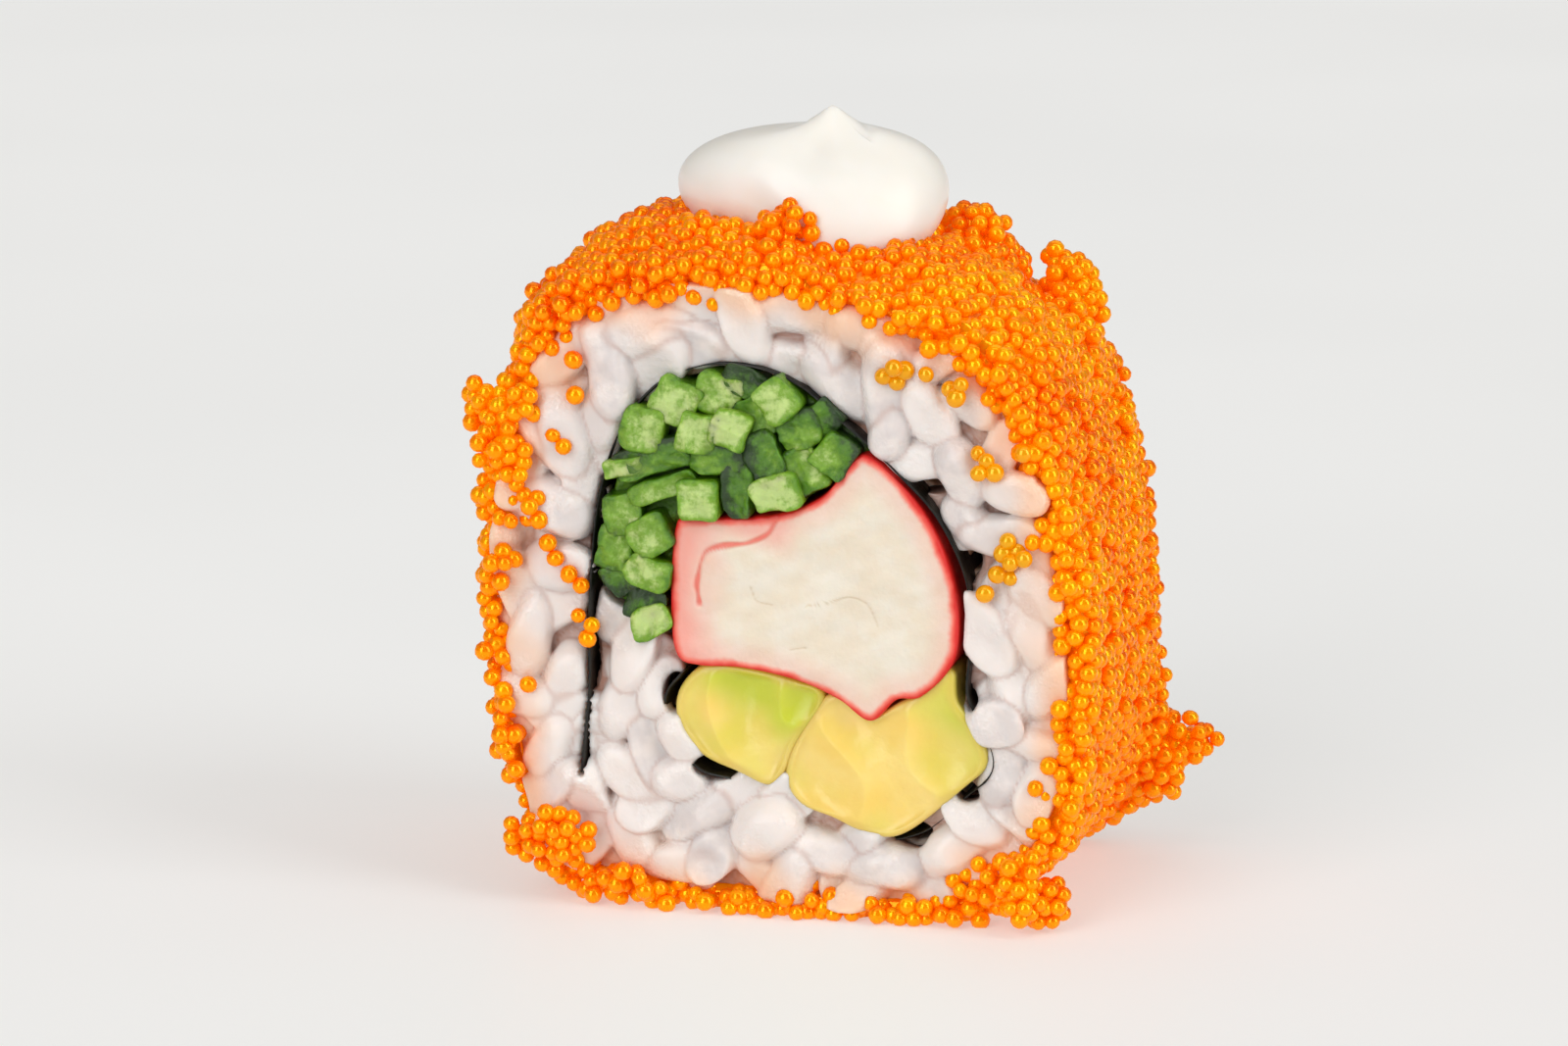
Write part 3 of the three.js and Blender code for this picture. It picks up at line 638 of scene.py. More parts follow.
def rice_middle():
    """Grains that lie just under the rice's outline, each along the surface at a random angle, round a
    solid core."""
    chance = np.random.default_rng(31)
    fine = spline(RICE_OUTLINE, step=0.25)
    normal = outward(fine)
    grains, taken = [], np.empty((0, 3))
    for _ in range(2600):
        i = chance.integers(len(fine))
        depth = chance.uniform(-9.5, 9.5)
        at = np.array([*(fine[i] - normal[i] * 1.35), depth])[[0, 2, 1]]
        if len(taken) and ((taken - at) ** 2).sum(1).min() < 2.3**2:
            continue
        taken = np.vstack([taken, at])
        lean = chance.uniform(0, math.pi)
        axis = np.array([-normal[i][1] * math.cos(lean), math.sin(lean), normal[i][0] * math.cos(lean)])
        grains.append((*at, axis, chance.uniform(2.5, 3.2), chance.uniform(1.3, 1.55), *NO_KNIFE))
    axes = [np.arange(-20.4, 20.4, 0.4), np.arange(-9.6, 9.7, 0.4), np.arange(0.2, 42.6, 0.4)]
    field, owner, crease = grain_field(axes, grains)
    x, y, z = np.meshgrid(*axes, indexing="ij", sparse=True)
    at = np.stack(np.broadcast_arrays(x[:, 0], z[:, 0]), -1)
    field = np.minimum(field, apart(at, rice_edge)[:, None] + 1.6 + 0 * y)
    room = rice_room(x[:, 0], z[:, 0])[:, None]
    field = np.maximum(np.maximum(field, room), np.abs(y) - 9.3)
    points, faces, cells = skin(field.astype(np.float32), axes)
    tone = chance.uniform(0, 1, len(grains))[owner[tuple(cells.T)]]
    # Painted shade where two grains meet
    painted_shade = 1 - smoothstep(crease[tuple(cells.T)], 0.0, 0.35)
    # Half of the roe stain and painted orange light from the roe, all over the side
    values = {"tone": tone, "crease": painted_shade * 0.7, "roe_stain_and_glow": np.full(len(points), 0.5)}
    piece("rice_side", points, faces, steamed_rice, "rice", values)


rice_middle()

# %% [markdown]
# ## Nori
#
# Nori is a sheet of dried seaweed, 0.2 mm thick, that turns soft and nearly black when damp. In the cut
# face it is a thin dark line that wanders a little in depth. A plane with a Solidify modifier could be
# it, but here it is a thin rounded section carried along its path, so that its edges can wander. Its
# finish is almost black with a faint green or brown cast and a satin shine.

# %% Nori finish and strip
damp_nori, tree, shader = finish(
    "damp_nori", Roughness=0.45, IOR=1.4, Coat_Weight=0.12, Coat_Roughness=0.2,
)
place = add(tree, "TexCoord", out="Object")
fibres = add(tree, "TexNoise", {"Vector": place, "Scale": 1000 / 0.9, "Detail": 4, "Roughness": 0.65})
share = add(tree, "MapRange", {0: fibres, 1: 0.35, 2: 0.7}, **SOFTLY)
body = add(tree, "Mix", {0: share, 6: "0B0D0A", 7: "242016"}, **COLOURS)
pitted = add(tree, "Bump", {"Height": fibres, "Distance": 0.15 / 1000, "Strength": 1.0})
wire(tree, shader, Base_Color=body, Normal=pitted)
NORI_THICK = 0.26  # mm, a little more than a dry sheet


def ribbon(line, thick, front, back, columns=24):
    """A strip along a line: at each sample of the line, a long thin loop runs from the front edge along
    one side to the back edge and returns along the other side. The ends taper to close it."""
    along = np.gradient(line, axis=0)
    along /= np.linalg.norm(along, axis=1)[:, None]
    normal = np.stack([along[:, 1], -along[:, 0]], 1)
    turn = np.linspace(0, 2 * math.pi, columns, endpoint=False)
    across = np.sign(np.sin(turn)) * np.minimum(np.abs(np.sin(turn)) * 3, 1) * thick / 2
    depth = -np.cos(turn)
    taper = np.ones(len(line))
    taper[[0, -1]] = 0.02
    y = mix(front[:, None], back[:, None], (depth[None] + 1) / 2)
    flat = line[:, None] + normal[:, None] * (across[None, :, None] * taper[:, None, None])
    points = np.stack([flat[..., 0], y, flat[..., 1]], -1).reshape(-1, 3)
    return points, grid_faces(len(line), columns)


fine_nori = spline(NORI_PATH, closed=False, step=0.3)
wander = face_ripple(*fine_nori.T, 7, 5)
# Below the fillings the nori's edge lies deeper, behind the rice
under = smoothstep(10 - fine_nori[:, 1], 0, 1.2) * smoothstep(fine_nori[:, 0], -3, -1)
points, faces = ribbon(fine_nori, NORI_THICK, 1.2 * under - 11.75 + 0.2 * wander, 11.6 + 0.2 * wander)
piece("nori_strip", points, faces, damp_nori, "nori")

# %% [markdown]
# ## Fillings
#
# The crab stick and the avocado are soft pieces that the knife cut flush. Each is its outline carried
# through the roll, with rims that the knife rounded a little. An extruded face with a Bevel modifier
# would look alike from afar, but its cut faces would be flat and empty. Here they carry rings from the
# rim to the middle, so that a soft relief and the colours across the face have points to live on.


# %% A filling with two cut faces
def filling(edge, middle, reach, rim, rings, relief):
    """Rings of points: over the front face from the middle outwards, round the rim on a quarter circle,
    along the side, and back over the other face. `relief` gives how far each face stands out, in mm."""
    away = edge - middle
    radius = np.linalg.norm(away, axis=1)
    shares = np.linspace(0, 1, rings) ** 0.75
    quarter = np.linspace(0, math.pi / 2, 5)[1:]
    inset = np.concatenate([np.full(rings, rim), rim * (1 - np.sin(quarter))])
    share = np.concatenate([shares, np.ones(4)])
    depth = np.concatenate([np.full(rings, reach), reach - rim * (1 - np.cos(quarter))])
    inset, share = np.concatenate([inset, inset[::-1]]), np.concatenate([share, share[::-1]])
    y = np.concatenate([-depth, depth[::-1]])
    pulled = share[:, None] * (1 - inset[:, None] / radius[None])
    flat = middle + away[None] * pulled[..., None]
    side = np.concatenate([-np.ones(rings), np.zeros(8), np.ones(rings)])[:, None]
    y = y[:, None] + side * relief(flat[..., 0], flat[..., 1]) * (1 - share[:, None] ** 12)
    points = np.stack([flat[..., 0], np.broadcast_to(y, flat.shape[:2]), flat[..., 1]], -1)
    return points.reshape(-1, 3), grid_faces(len(share), len(edge))


def close_poles(made):
    """Joins the points that lie on each other at the middle of a face."""
    mesh = bmesh.new()
    mesh.from_mesh(made.data)
    bmesh.ops.remove_doubles(mesh, verts=mesh.verts, dist=1e-8)
    print(f"{made.name}: {len(made.data.vertices) - len(mesh.verts)} points joined")
    mesh.to_mesh(made.data)
    mesh.free()


# %% [markdown]
# ### Crab stick
#
# A crab stick is sheets of white fish paste rolled up, with a red skin. The red has run a little way into
# the paste, most on the left, and the sheet's own edge shows as a thin red fold. The mesh carries the
# distance to the skin, to the fold and to the fine cracks, and the finish turns them into colour, with
# painted shade in the cracks.

# %% Crab stick finish
fish_paste, tree, shader = finish(
    "fish_paste", Roughness=0.5, IOR=1.42, Subsurface_Weight=0.35, Subsurface_Scale=0.0012,
    Subsurface_Radius=(1.0, 0.7, 0.5), Coat_Weight=0.12, Coat_Roughness=0.3,
)
place = add(tree, "TexCoord", out="Object")
blush, fold, shaded_crack, to_skin = (
    add(tree, "Attribute", out="Fac", attribute_name=name) for name in ("blush", "fold", "shaded_crack", "skin")
)
fine, soft, wavy = (
    add(tree, "TexNoise", {"Vector": place, "Scale": 1000 / size, "Detail": detail, "Roughness": 0.5})
    for size, detail in ((0.35, 3), (2.4, 3), (1.4, 2))
)
soft = add(tree, "MapRange", {0: soft, 1: 0.35, 2: 0.7}, **SOFTLY)
depth = add(tree, "Math", {0: wavy, 1: 0.5, 2: to_skin}, operation="MULTIPLY_ADD")
# These two ranges run backwards, since the red lies where the depth is small
pink_skin = add(tree, "MapRange", {0: depth, 1: 0.95, 2: 0.5}, **SOFTLY)
red_skin = add(tree, "MapRange", {0: depth, 1: 0.62, 2: 0.3}, **SOFTLY)
body = "E5D8C3"
# The crack colour is painted shade in the cracks
for share, over in (
    (soft, "E8E0D1"), (blush, "EEA698"), (fold, "EC6E5C"), (shaded_crack, "CDB896"), (pink_skin, "F0705F"),
    (red_skin, "D8211C"),
):
    body = add(tree, "Mix", {0: share, 6: body, 7: over}, **COLOURS)
grainy = add(tree, "Bump", {"Height": fine, "Distance": 0.07 / 1000, "Strength": 0.6})
wire(tree, shader, Base_Color=body, Normal=grainy)

# %% [markdown]
# The stick is its outline carried through the roll. Its skin, fold and cracks could be painted, but as
# distances from lines they stay sharp at any size, and each can be moved by its points.

# %% Crab stick
FOLD = [
    (0.4, 27.2), (0, 26.2), (-0.5, 25.4), (-1.7, 24.8), (-2.8, 24.6), (-4.3, 24.2), (-4.8, 23.5),
    (-5.1, 22.1), (-5, 20.7),
]
CRACKS = [
    [(2.1, 20.9), (3.4, 21.1), (4.9, 21.6), (6.1, 21.2), (6.8, 19.8)],
    [(-1.6, 21.9), (-1.2, 21), (-0.2, 20.8)],
    [(1, 17.9), (2, 18.1)],
]


def paste_relief(x, z):
    """The soft swells and the fine grain of the cut paste, in mm."""
    return 0.1 * face_ripple(x, z, 5, 2) + 0.05 * face_ripple(x, z, 1.3, 4)


points, faces = filling(
    spline(CRAB_OUTLINE, step=0.22), np.array([2.6, 21.6]), HALF + 0.15, 0.3, 64, paste_relief,
)
flat, front = points[:, [0, 2]], points[:, 1] < 0
inward = -apart(flat, crab_edge)
to_fold = apart(flat, spline(FOLD, closed=False, step=0.1), closed=False)
to_crack = np.min([apart(flat, spline(c, closed=False, step=0.1), closed=False) for c in CRACKS], 0)
on_face = np.abs(points[:, 1]) > HALF - 0.2
left = smoothstep(-flat[:, 0] + ripple(points, 3, 8) * 0.5, 2.2, 6.4)
high = smoothstep(flat[:, 1] + flat[:, 0] * 0.35, 23.6, 25.4) * (1 - smoothstep(flat[:, 0], 0, 2))
near_skin = 1 - smoothstep(inward, 0.5, 2.4)
blush = np.clip(np.maximum(left * 0.75, high * 0.5) + near_skin * 0.35, 0, 1)
fold = np.where(front, 1 - smoothstep(to_fold + 0.08 * ripple(points, 1.5, 6), 0.02, 0.24), 0)
# Painted shade in the cracks, which below are also cut as shallow grooves
shaded_crack = np.where(front, 1 - smoothstep(to_crack, 0.0, 0.1), 0) * 0.6
# The fold and the cracks are thin grooves in the front face
points[:, 1] += np.where(front, 0.18 * fold + 0.1 * shaded_crack, 0)
values = {"skin": np.where(on_face, inward, 0), "blush": blush, "fold": fold * 0.85, "shaded_crack": shaded_crack}
close_poles(piece("crab_stick_cut", points, faces, fish_paste, "crab_stick", values))

# %% [markdown]
# ### Avocado
#
# Ripe avocado is yellow near the stone and green near its skin, with a buttery, slightly oily face. The
# left piece is lime green at its top right, and the right one a warm yellow that turns greener at its
# right end. The mesh carries how green each point is, and how near it lies to the darker rim.

# %% Avocado
ripe_avocado, tree, shader = finish(
    "ripe_avocado", Roughness=0.34, IOR=1.45, Subsurface_Weight=0.35, Subsurface_Scale=0.0014,
    Subsurface_Radius=(1.0, 0.8, 0.3), Coat_Weight=0.3, Coat_Roughness=0.22,
)
place = add(tree, "TexCoord", out="Object")
lime, edge = (add(tree, "Attribute", out="Fac", attribute_name=name) for name in ("green", "edge"))
butter, fine = (
    add(tree, "TexNoise", {"Vector": place, "Scale": 1000 / size, "Detail": 3, "Roughness": 0.5})
    for size in (3.0, 0.8)
)
butter = add(tree, "MapRange", {0: butter, 1: 0.3, 2: 0.75}, **SOFTLY)
body = "F2D068"
for share, over in ((butter, "F6DA80"), (lime, "C8CE38"), (edge, "D9B457")):
    body = add(tree, "Mix", {0: share, 6: body, 7: over}, **COLOURS)
soft_skin = add(tree, "Bump", {"Height": fine, "Distance": 0.12 / 1000, "Strength": 0.6})
wire(tree, shader, Base_Color=body, Normal=soft_skin)


def avocado(name, outline, middle, node, greenness, seed):
    """One piece of avocado, with a soft relief, its greenness and its darker rim at each point. It is a
    little larger than its outline, so that it meets its neighbours."""

    def relief(x, z):
        """The soft folds and the fine grain of the cut face, in mm."""
        return 0.2 - 0.6 * np.abs(face_ripple(x, z, 7, seed)) + 0.03 * face_ripple(x, z, 1.7, seed + 1, 24)

    edge = spline(outline, step=0.25)
    edge = edge + outward(edge) * 0.22
    points, faces = filling(edge, np.array(middle), HALF - 0.25, 0.4, 40, relief)
    inward = -apart(points[:, [0, 2]], spline(outline))
    values = {
        "green": np.clip(greenness(points[:, 0], points[:, 2]) + 0.15 * ripple(points, 3, seed), 0, 1),
        "edge": (1 - smoothstep(inward, 0, 0.7)) * 0.45,
    }
    close_poles(piece(name, points, faces, ripe_avocado, node, values))


avocado(
    "avocado_left_cut", AVOCADO_LEFT_OUTLINE, (-2.2, 12.8), "avocado_left",
    lambda x, z: 0.25 + 0.75 * smoothstep(z + 0.6 * x, 10.5, 14.5), 41,
)
avocado(
    "avocado_right_cut", AVOCADO_RIGHT_OUTLINE, (7, 10), "avocado_right",
    lambda x, z: 0.75 * smoothstep(x + 0.5 * z, 14, 19.5), 47,
)

# %% [markdown]
# ### Cucumber, the finish
#
# The flesh of cucumber is pale and wet, and gets greener towards the rind, which is nearly black green. A
# number at each point says how near it is to the rind, with painted shade added at the rims of the batons
# and over the bundle between them, and the finish runs pale, bright, dark along it. A film of water with
# fine ripples lies on top, as on the rice.

# %% Cucumber finish
wet_cucumber, tree, shader = finish(
    "wet_cucumber", Roughness=0.4, IOR=1.38, Subsurface_Weight=0.45, Subsurface_Scale=0.0012,
    Subsurface_Radius=(0.7, 1.0, 0.3), Coat_Weight=0.45, Coat_Roughness=0.08,
)
place = add(tree, "TexCoord", out="Object")
rind_and_shade = add(tree, "Attribute", out="Fac", attribute_name="rind")
fibre = add(tree, "TexNoise", {"Vector": place, "Scale": 1000 / 0.35, "Detail": 4, "Roughness": 0.6})
water = add(tree, "TexNoise", {"Vector": place, "Scale": 1000 / 0.3, "Detail": 3, "Roughness": 0.6})
mottle = add(tree, "Math", {0: fibre, 1: 0.7, 2: -0.35}, operation="MULTIPLY_ADD")
rind = add(tree, "Math", {0: rind_and_shade, 1: mottle}, operation="ADD")
# The rind number also carries painted shade at the batons' rims and over the bundle between them
body = "BCD280"
for low, high, over in ((0.0, 0.35, "76A022"), (0.3, 0.65, "4C7C04"), (0.62, 1.0, "1C3A06")):
    share = add(tree, "MapRange", {0: rind, 1: low, 2: high}, **SOFTLY)
    body = add(tree, "Mix", {0: share, 6: body, 7: over}, **COLOURS)
torn_skin = add(tree, "Bump", {"Height": fibre, "Distance": 0.16 / 1000, "Strength": 0.9})
wet_skin = add(tree, "Bump", {"Height": water, "Distance": 0.22 / 1000, "Strength": 1.0})
wire(tree, shader, Base_Color=body, Normal=torn_skin, Coat_Normal=wet_skin)

# %% [markdown]
# ### Cucumber, the batons
#
# The cucumber is cut into thin batons, with rind on some of them. Each is a rounded square bar with a
# rough, torn end, and some lie askew, so their ends show long. A cube with a Bevel and a Displace modifier
# could be one, but here each baton is one grid of points, and all of them become one mesh.

# %% Cucumber batons
# Each is (x, z, width, height, turn in degrees, how far it stands out, rind, where its rind lies)
BATONS = [
    (-8.7, 31.9, 2.6, 2.6, -8, 0.5, 0.18, 180), (-6.5, 33.8, 2.6, 2.5, -22, 0.3, 0.12, 90),
    (-5, 31.9, 2.3, 2.3, -12, 0.8, 0.15, 0), (-3.6, 34.4, 2.6, 2.3, -12, 0.2, 0.16, 200),
    (-2.8, 32.2, 2.3, 2.2, -15, 0.9, 0.03, 300), (-1.9, 35.2, 2.7, 1.7, -25, 0, 0.85, 90),
    (0.2, 34.2, 2.3, 2.5, 42, 0.7, 0.14, 0), (-1.2, 33, 2.2, 2.4, 38, 0.1, 0.5, 200),
    (1.6, 32.3, 2.4, 2.3, 22, 0.2, 0.5, 90), (3, 33, 2.1, 2.3, -40, -0.1, 0.75, 45),
    (-0.5, 30.4, 2, 3.2, 24, 0.6, 0.72, 180), (2, 29.7, 2.3, 3, 28, 0.3, 0.42, 180),
    (3.9, 30.8, 2.2, 2.4, -35, 0.4, 0.45, 45), (-3.8, 30.2, 3.4, 1.7, 3, 0.5, 0.62, 40),
    (-4.9, 27.6, 2.5, 2.3, 6, 1, 0.16, 90), (-2.4, 28.2, 2, 3.2, 4, 0.6, 0.72, 180),
    (0.2, 28.2, 2.9, 2, 16, 0.8, 0.06, 0), (-8.1, 30, 4.8, 1.8, 19, 0.3, 0.68, 100),
    (-7.4, 28.1, 4.2, 1.2, 20, 0.4, 0.3, 90), (-9.8, 29.4, 2.8, 0.9, 15, 0.5, 0.18, 0),
    (-10.1, 26.2, 2.3, 2.6, 10, 0.2, 0.34, 180), (-8.2, 24.9, 2.4, 2.3, 25, 0.5, 0.26, 0),
    (-10.6, 23.8, 2.2, 2.5, -10, 0.1, 0.4, 200), (-8.3, 22.5, 2.7, 2, -15, 0.6, 0.2, 0),
    (-10, 22, 2.3, 1.9, 30, 0, 0.72, 250), (-8.6, 20.4, 2.3, 1.8, -10, 0.1, 0.9, 90),
    (-8.2, 19.2, 2.4, 1.6, 20, 0.3, 0.05, 270),
]
FULLNESS = 0.57  # how far a baton reaches to each side, as a share of its width, so that neighbours touch


def baton(x, z, width, height, turn, proud, rind, towards, seed, columns=44):
    """A bar along the roll: its section is a rounded square whose corners a power of 4 to 8 fills out, its
    rings run from the middle of the front end over a rounded rim to the middle of the back end, and
    ripples tear the ends. Its rind rises from one side to the other, and painted shade darkens it towards
    the rims."""
    angle = np.linspace(0, 2 * math.pi, columns, endpoint=False)
    blunt = 4 + seed * 7 % 5
    size = (np.abs(np.cos(angle)) ** blunt + np.abs(np.sin(angle)) ** blunt) ** (-1 / blunt)
    u, v = size * np.cos(angle) * width * FULLNESS, size * np.sin(angle) * height * FULLNESS
    share = np.concatenate([np.linspace(0, 0.86, 10), [0.93, 0.98, 1]])
    depth = np.concatenate([np.full(10, HALF), [HALF - 0.03, HALF - 0.12, HALF - 0.3]]) + proud
    along = np.linspace(-1, 1, 7)[1:-1] * (HALF - 1)
    y = np.concatenate([-depth, along, depth[::-1]])
    share = np.concatenate([share, np.ones(5), share[::-1]])
    fade = np.concatenate([np.ones(13), np.zeros(5), -np.ones(13)])[:, None]
    u, v = share[:, None] * u, share[:, None] * v
    c, s = math.cos(math.radians(turn)), math.sin(math.radians(turn))
    points = np.stack([x + u * c - v * s, y[:, None] + 0 * u, z + u * s + v * c], -1)
    torn = 0.1 * ripple(points, 0.75, seed) + 0.14 * ripple(points, 2, seed + 100)
    points[..., 1] += fade * torn * (0.4 + 0.6 * share[:, None])
    for axis, number in ((0, 200), (2, 300)):
        points[..., axis] += 0.14 * ripple(points, 2.4, seed + number) * share[:, None]
    lie = math.radians(towards)
    slope = u / width * math.cos(lie) + v / height * math.sin(lie)
    value = rind + slope * (0.5 if rind > 0.4 else 0.22) + 0.1 * ripple(points, 1, seed + 400)
    # Painted shade: darker green towards the rim of each end
    value = value + 0.42 * share[:, None] ** 4 - 0.06
    return points.reshape(-1, 3), grid_faces(len(y), columns), value.ravel()


def joined(parts):
    """Several meshes as one: their points, their faces renumbered, and their values."""
    start = np.cumsum([0] + [len(p[0]) for p in parts[:-1]])
    points = np.vstack([p[0] for p in parts])
    faces = np.vstack([p[1] + s for p, s in zip(parts, start)])
    return points, faces, np.concatenate([p[2] for p in parts])


points, faces, rinds_and_shade = joined([baton(*row, seed=60 + n) for n, row in enumerate(BATONS)])
close_poles(
    piece("cucumber_batons", points, faces, wet_cucumber, "cucumber", {"rind": rinds_and_shade})
)

# %% [markdown]
# Between the batons it lies in shade, dark and green. A plain bundle a little behind their ends fills that
# room, as the batons further in do on the real roll, and it is painted the dark green of that shade.

# %% Cucumber between the batons
def inner_relief(x, z):
    """How uneven the ends further in are, in mm."""
    return 0.2 * face_ripple(x, z, 1.5, 7)


points, faces = filling(
    spline(CUCUMBER_OUTLINE), np.array([-6.2, 29.3]), HALF - 1.2, 0.3, 24, inner_relief,
)
# Painted shade: the whole bundle gets the dark green near the rind
rinds_and_shade = 0.72 + 0.2 * ripple(points, 2, 9)
close_poles(
    piece("cucumber_inside", points, faces, wet_cucumber, "cucumber", {"rind": rinds_and_shade})
)

# %% [markdown]
# ## Roe, the finish
#
# Capelin roe is thousands of eggs about 1.1 mm across. Each is a clear orange bead with a sharp highlight,
# and light passes into it, gathers at its far side and comes out warmer. Real glass-like eggs would take
# many light paths to render, so the finish scatters light instead and has a cloudy colour inside, and
# that warm far side is painted glow: every egg emits a little, and the side away from one fixed light
# direction is painted yellower and glows more. A tinted highlight and a small share of metal keep the
# gloss from veiling the orange in white. Each egg has a tone of its own, from red to yellow. A few eggs
# are clearer and more amber, with a painted glow of their own.

# %% Roe finish
fish_roe, tree, shader = finish(
    "fish_roe", Roughness=0.09, IOR=2.0, Specular_IOR_Level=1.0, Specular_Tint=colour("FFB434"),
    Subsurface_Weight=0.5, Subsurface_Scale=0.0009, Subsurface_Radius=(1.0, 0.4, 0.08),
    Emission_Strength=0.16, Metallic=0.2,
)
place = add(tree, "TexCoord", out="Object")
tone, painted_glow = (add(tree, "Attribute", out="Fac", attribute_name=name) for name in ("tone", "painted_glow"))
body = "E64A00"
for low, high, over in ((0.0, 0.5, "F87E00"), (0.5, 1.0, "FFAA00")):
    share = add(tree, "MapRange", {0: tone, 1: low, 2: high}, **SOFTLY)
    body = add(tree, "Mix", {0: share, 6: body, 7: over}, **COLOURS)
cloud = add(tree, "TexNoise", {"Vector": place, "Scale": 1000 / 0.9, "Detail": 3, "Roughness": 0.6})
cloud = add(tree, "MapRange", {0: cloud, 1: 0.4, 2: 0.62}, **SOFTLY)
cloud = add(tree, "Mix", {0: cloud, 6: "F05A00", 7: "FFB400"}, **COLOURS)
cloudy = add(tree, "Mix", {0: 0.45, 6: body, 7: cloud}, **COLOURS)
# Painted glow: on each egg's glowing side the base colour turns yellower and the emission brighter; on its
# shaded side the emission is a dim orange-brown
lit = add(tree, "Mix", {0: painted_glow, 6: cloudy, 7: "FF9A00"}, **COLOURS)
shade = add(tree, "Mix", {0: painted_glow, 6: "A04000", 7: "FF8800"}, **COLOURS)
inner_light = add(tree, "Mix", {0: 0.5, 6: cloudy, 7: shade}, blend_type="MULTIPLY", **COLOURS)
wire(tree, shader, Base_Color=lit, Emission_Color=inner_light)

# The clear eggs have a painted glow too, from their emission
clear_roe, tree, shader = finish(
    "clear_roe", Roughness=0.06, IOR=1.8, Specular_IOR_Level=1.0, Specular_Tint=colour("FFD070"),
    Metallic=0.12, Transmission_Weight=0.25, Emission_Color=colour("E89000"), Emission_Strength=0.14,
)
tone = add(tree, "Attribute", out="Fac", attribute_name="tone")
body = add(tree, "Mix", {0: tone, 6: "E89200", 7: "F0AC08"}, **COLOURS)
wire(tree, shader, Base_Color=body)

# %% [markdown]
# ## Roe, the coat
#
# The coat is one to four eggs thick. It is thin and patchy on the left, thick at the upper right, and has
# a ridge low on the right at the back. Its thickness is a function of the place, close to the one that
# the solids use. It is a sum of soft steps and bells, so each feature can be moved or sized alone.

# %% Thickness of the coat
EGG = 0.51  # mm, half the distance at which eggs are placed
SWELL = 1.18  # how much larger they are drawn, so that they press together
# The coat's thickness at the two sides, and what the top and the right shoulder add to it, in mm
COAT_RIGHT, COAT_LEFT, CROWN_RISE, SHOULDER_RISE = 1.6, 0.8, 1.4, 0.45


def bell(value, middle, width):
    """1 at the middle, falling off on both sides: e to the minus square of the distance in widths."""
    return np.exp(-(((value - middle) / width) ** 2))


def coat_thickness(x, y, z):
    """The coat's thickness outside the rice, in mm: thin at the lower left, thicker over the crown and
    the right shoulder away from the cuts, with a ridge low on the right at the back, a dip in the shoulder
    before the heap at its back, a shallow dip in the front of the crown, and lumps."""
    z = np.maximum(z, 0)
    left = smoothstep(-x, 8, 18) * smoothstep(38 - z, 0, 8)
    inward = smoothstep(HALF - np.abs(y), 0, 6)
    lump = np.sin(0.45 * x + 0.7 * y) * np.sin(0.5 * z - 0.3 * y + 1)
    ridge = np.where(x > 0, bell(z, 6.5, 4.5), 0) * smoothstep(y, HALF - 7, HALF)
    rise = CROWN_RISE * smoothstep(z, 31, 38) + SHOULDER_RISE * smoothstep(x, 2, 10) * smoothstep(z, 28, 34)
    shoulder_dip = 2.2 * bell(x, 12, 1.4) * (z > 30) * smoothstep(y, -2, 4)
    coat = mix(COAT_RIGHT, COAT_LEFT, left) + rise * inward - shoulder_dip
    coat = coat - 0.7 * bell(x, 4, 3) * (z > 30) * smoothstep(-y, 4, 7)
    return coat + 2.8 * ridge + 0.35 * lump * (1 - 0.6 * left)


left_right_top = coat_thickness(np.array([-18, 18, 6]), np.zeros(3), np.array([20, 20, 40]))
print("the coat at the left, at the right and on top, in mm:", left_right_top.round(2))

# %% [markdown]
# The eggs are placed by how far round the roll they lie, how deep, and how high off the rice. These cells
# turn such places into points, find the pairs of points that are too near each other, and push them apart.
# Blender's rigid bodies could let real balls settle, but thousands of them would take minutes, and would
# not stay the same from run to run as surely.


# %% Places round the roll
ROUND_STEP = 0.2  # mm between the samples of the rice's outline
roll_edge = spline(RICE_OUTLINE, step=ROUND_STEP)
roll_normal = outward(roll_edge)
ROUND = len(roll_edge) * ROUND_STEP


def on_roll(along, height):
    """The (x, z) place a way along the rice's outline and a height off it, and the normal there."""
    at = (along / ROUND_STEP) % len(roll_edge)
    low, share = np.floor(at).astype(int) % len(roll_edge), (at % 1)[:, None]
    high = (low + 1) % len(roll_edge)
    normal = mix(roll_normal[low], roll_normal[high], share)
    return mix(roll_edge[low], roll_edge[high], share) + normal * height[:, None], normal


def touching(points, within):
    """All pairs of points nearer than a distance, found block by block."""
    found = []
    for first in range(0, len(points), 1024):
        some = points[first : first + 1024]
        square = ((some[:, None] - points[None]) ** 2).sum(-1)
        i, j = np.nonzero(square < within**2)
        i += first
        found.append(np.stack([i[i < j], j[i < j]], 1))
    return np.vstack(found)


def pushes(points, pairs, size, share):
    """How each point moves when every pair nearer than `size` gives way by a share of its overlap."""
    gap = points[pairs[:, 0]] - points[pairs[:, 1]]
    length = np.linalg.norm(gap, axis=1) + 1e-6
    push = gap / length[:, None] * (np.maximum(size - length, 0) * share)[:, None]
    move = np.zeros_like(points)
    np.add.at(move, pairs[:, 0], push)
    np.add.at(move, pairs[:, 1], -push)
    return move


def settled(points, size, rounds, hold):
    """Pushes points apart in rounds until few are nearer than `size`. After each round, `hold` brings
    them back to where they may be."""
    for n in range(rounds):
        if n % 6 == 0:
            pairs = touching(points, size * 1.5)
        points = hold(points + pushes(points, pairs, size, 0.35))
    return points


print(f"the rice is {ROUND:.0f} mm round, in {len(roll_edge)} samples")

# %% [markdown]
# The eggs start on an even lattice, layer by layer, each a little off its place. Then they push each other
# apart, as real eggs do when they settle, so that few overlap and none lie in rows. Eggs near a cut may
# spill over the rice's edge. The rest are kept off the rice and below the top of the coat.

# %% Eggs of the coat
EGG_STEP = 0.95  # mm from egg to egg in a layer
EGG_LAYER = 0.8  # mm from layer to layer


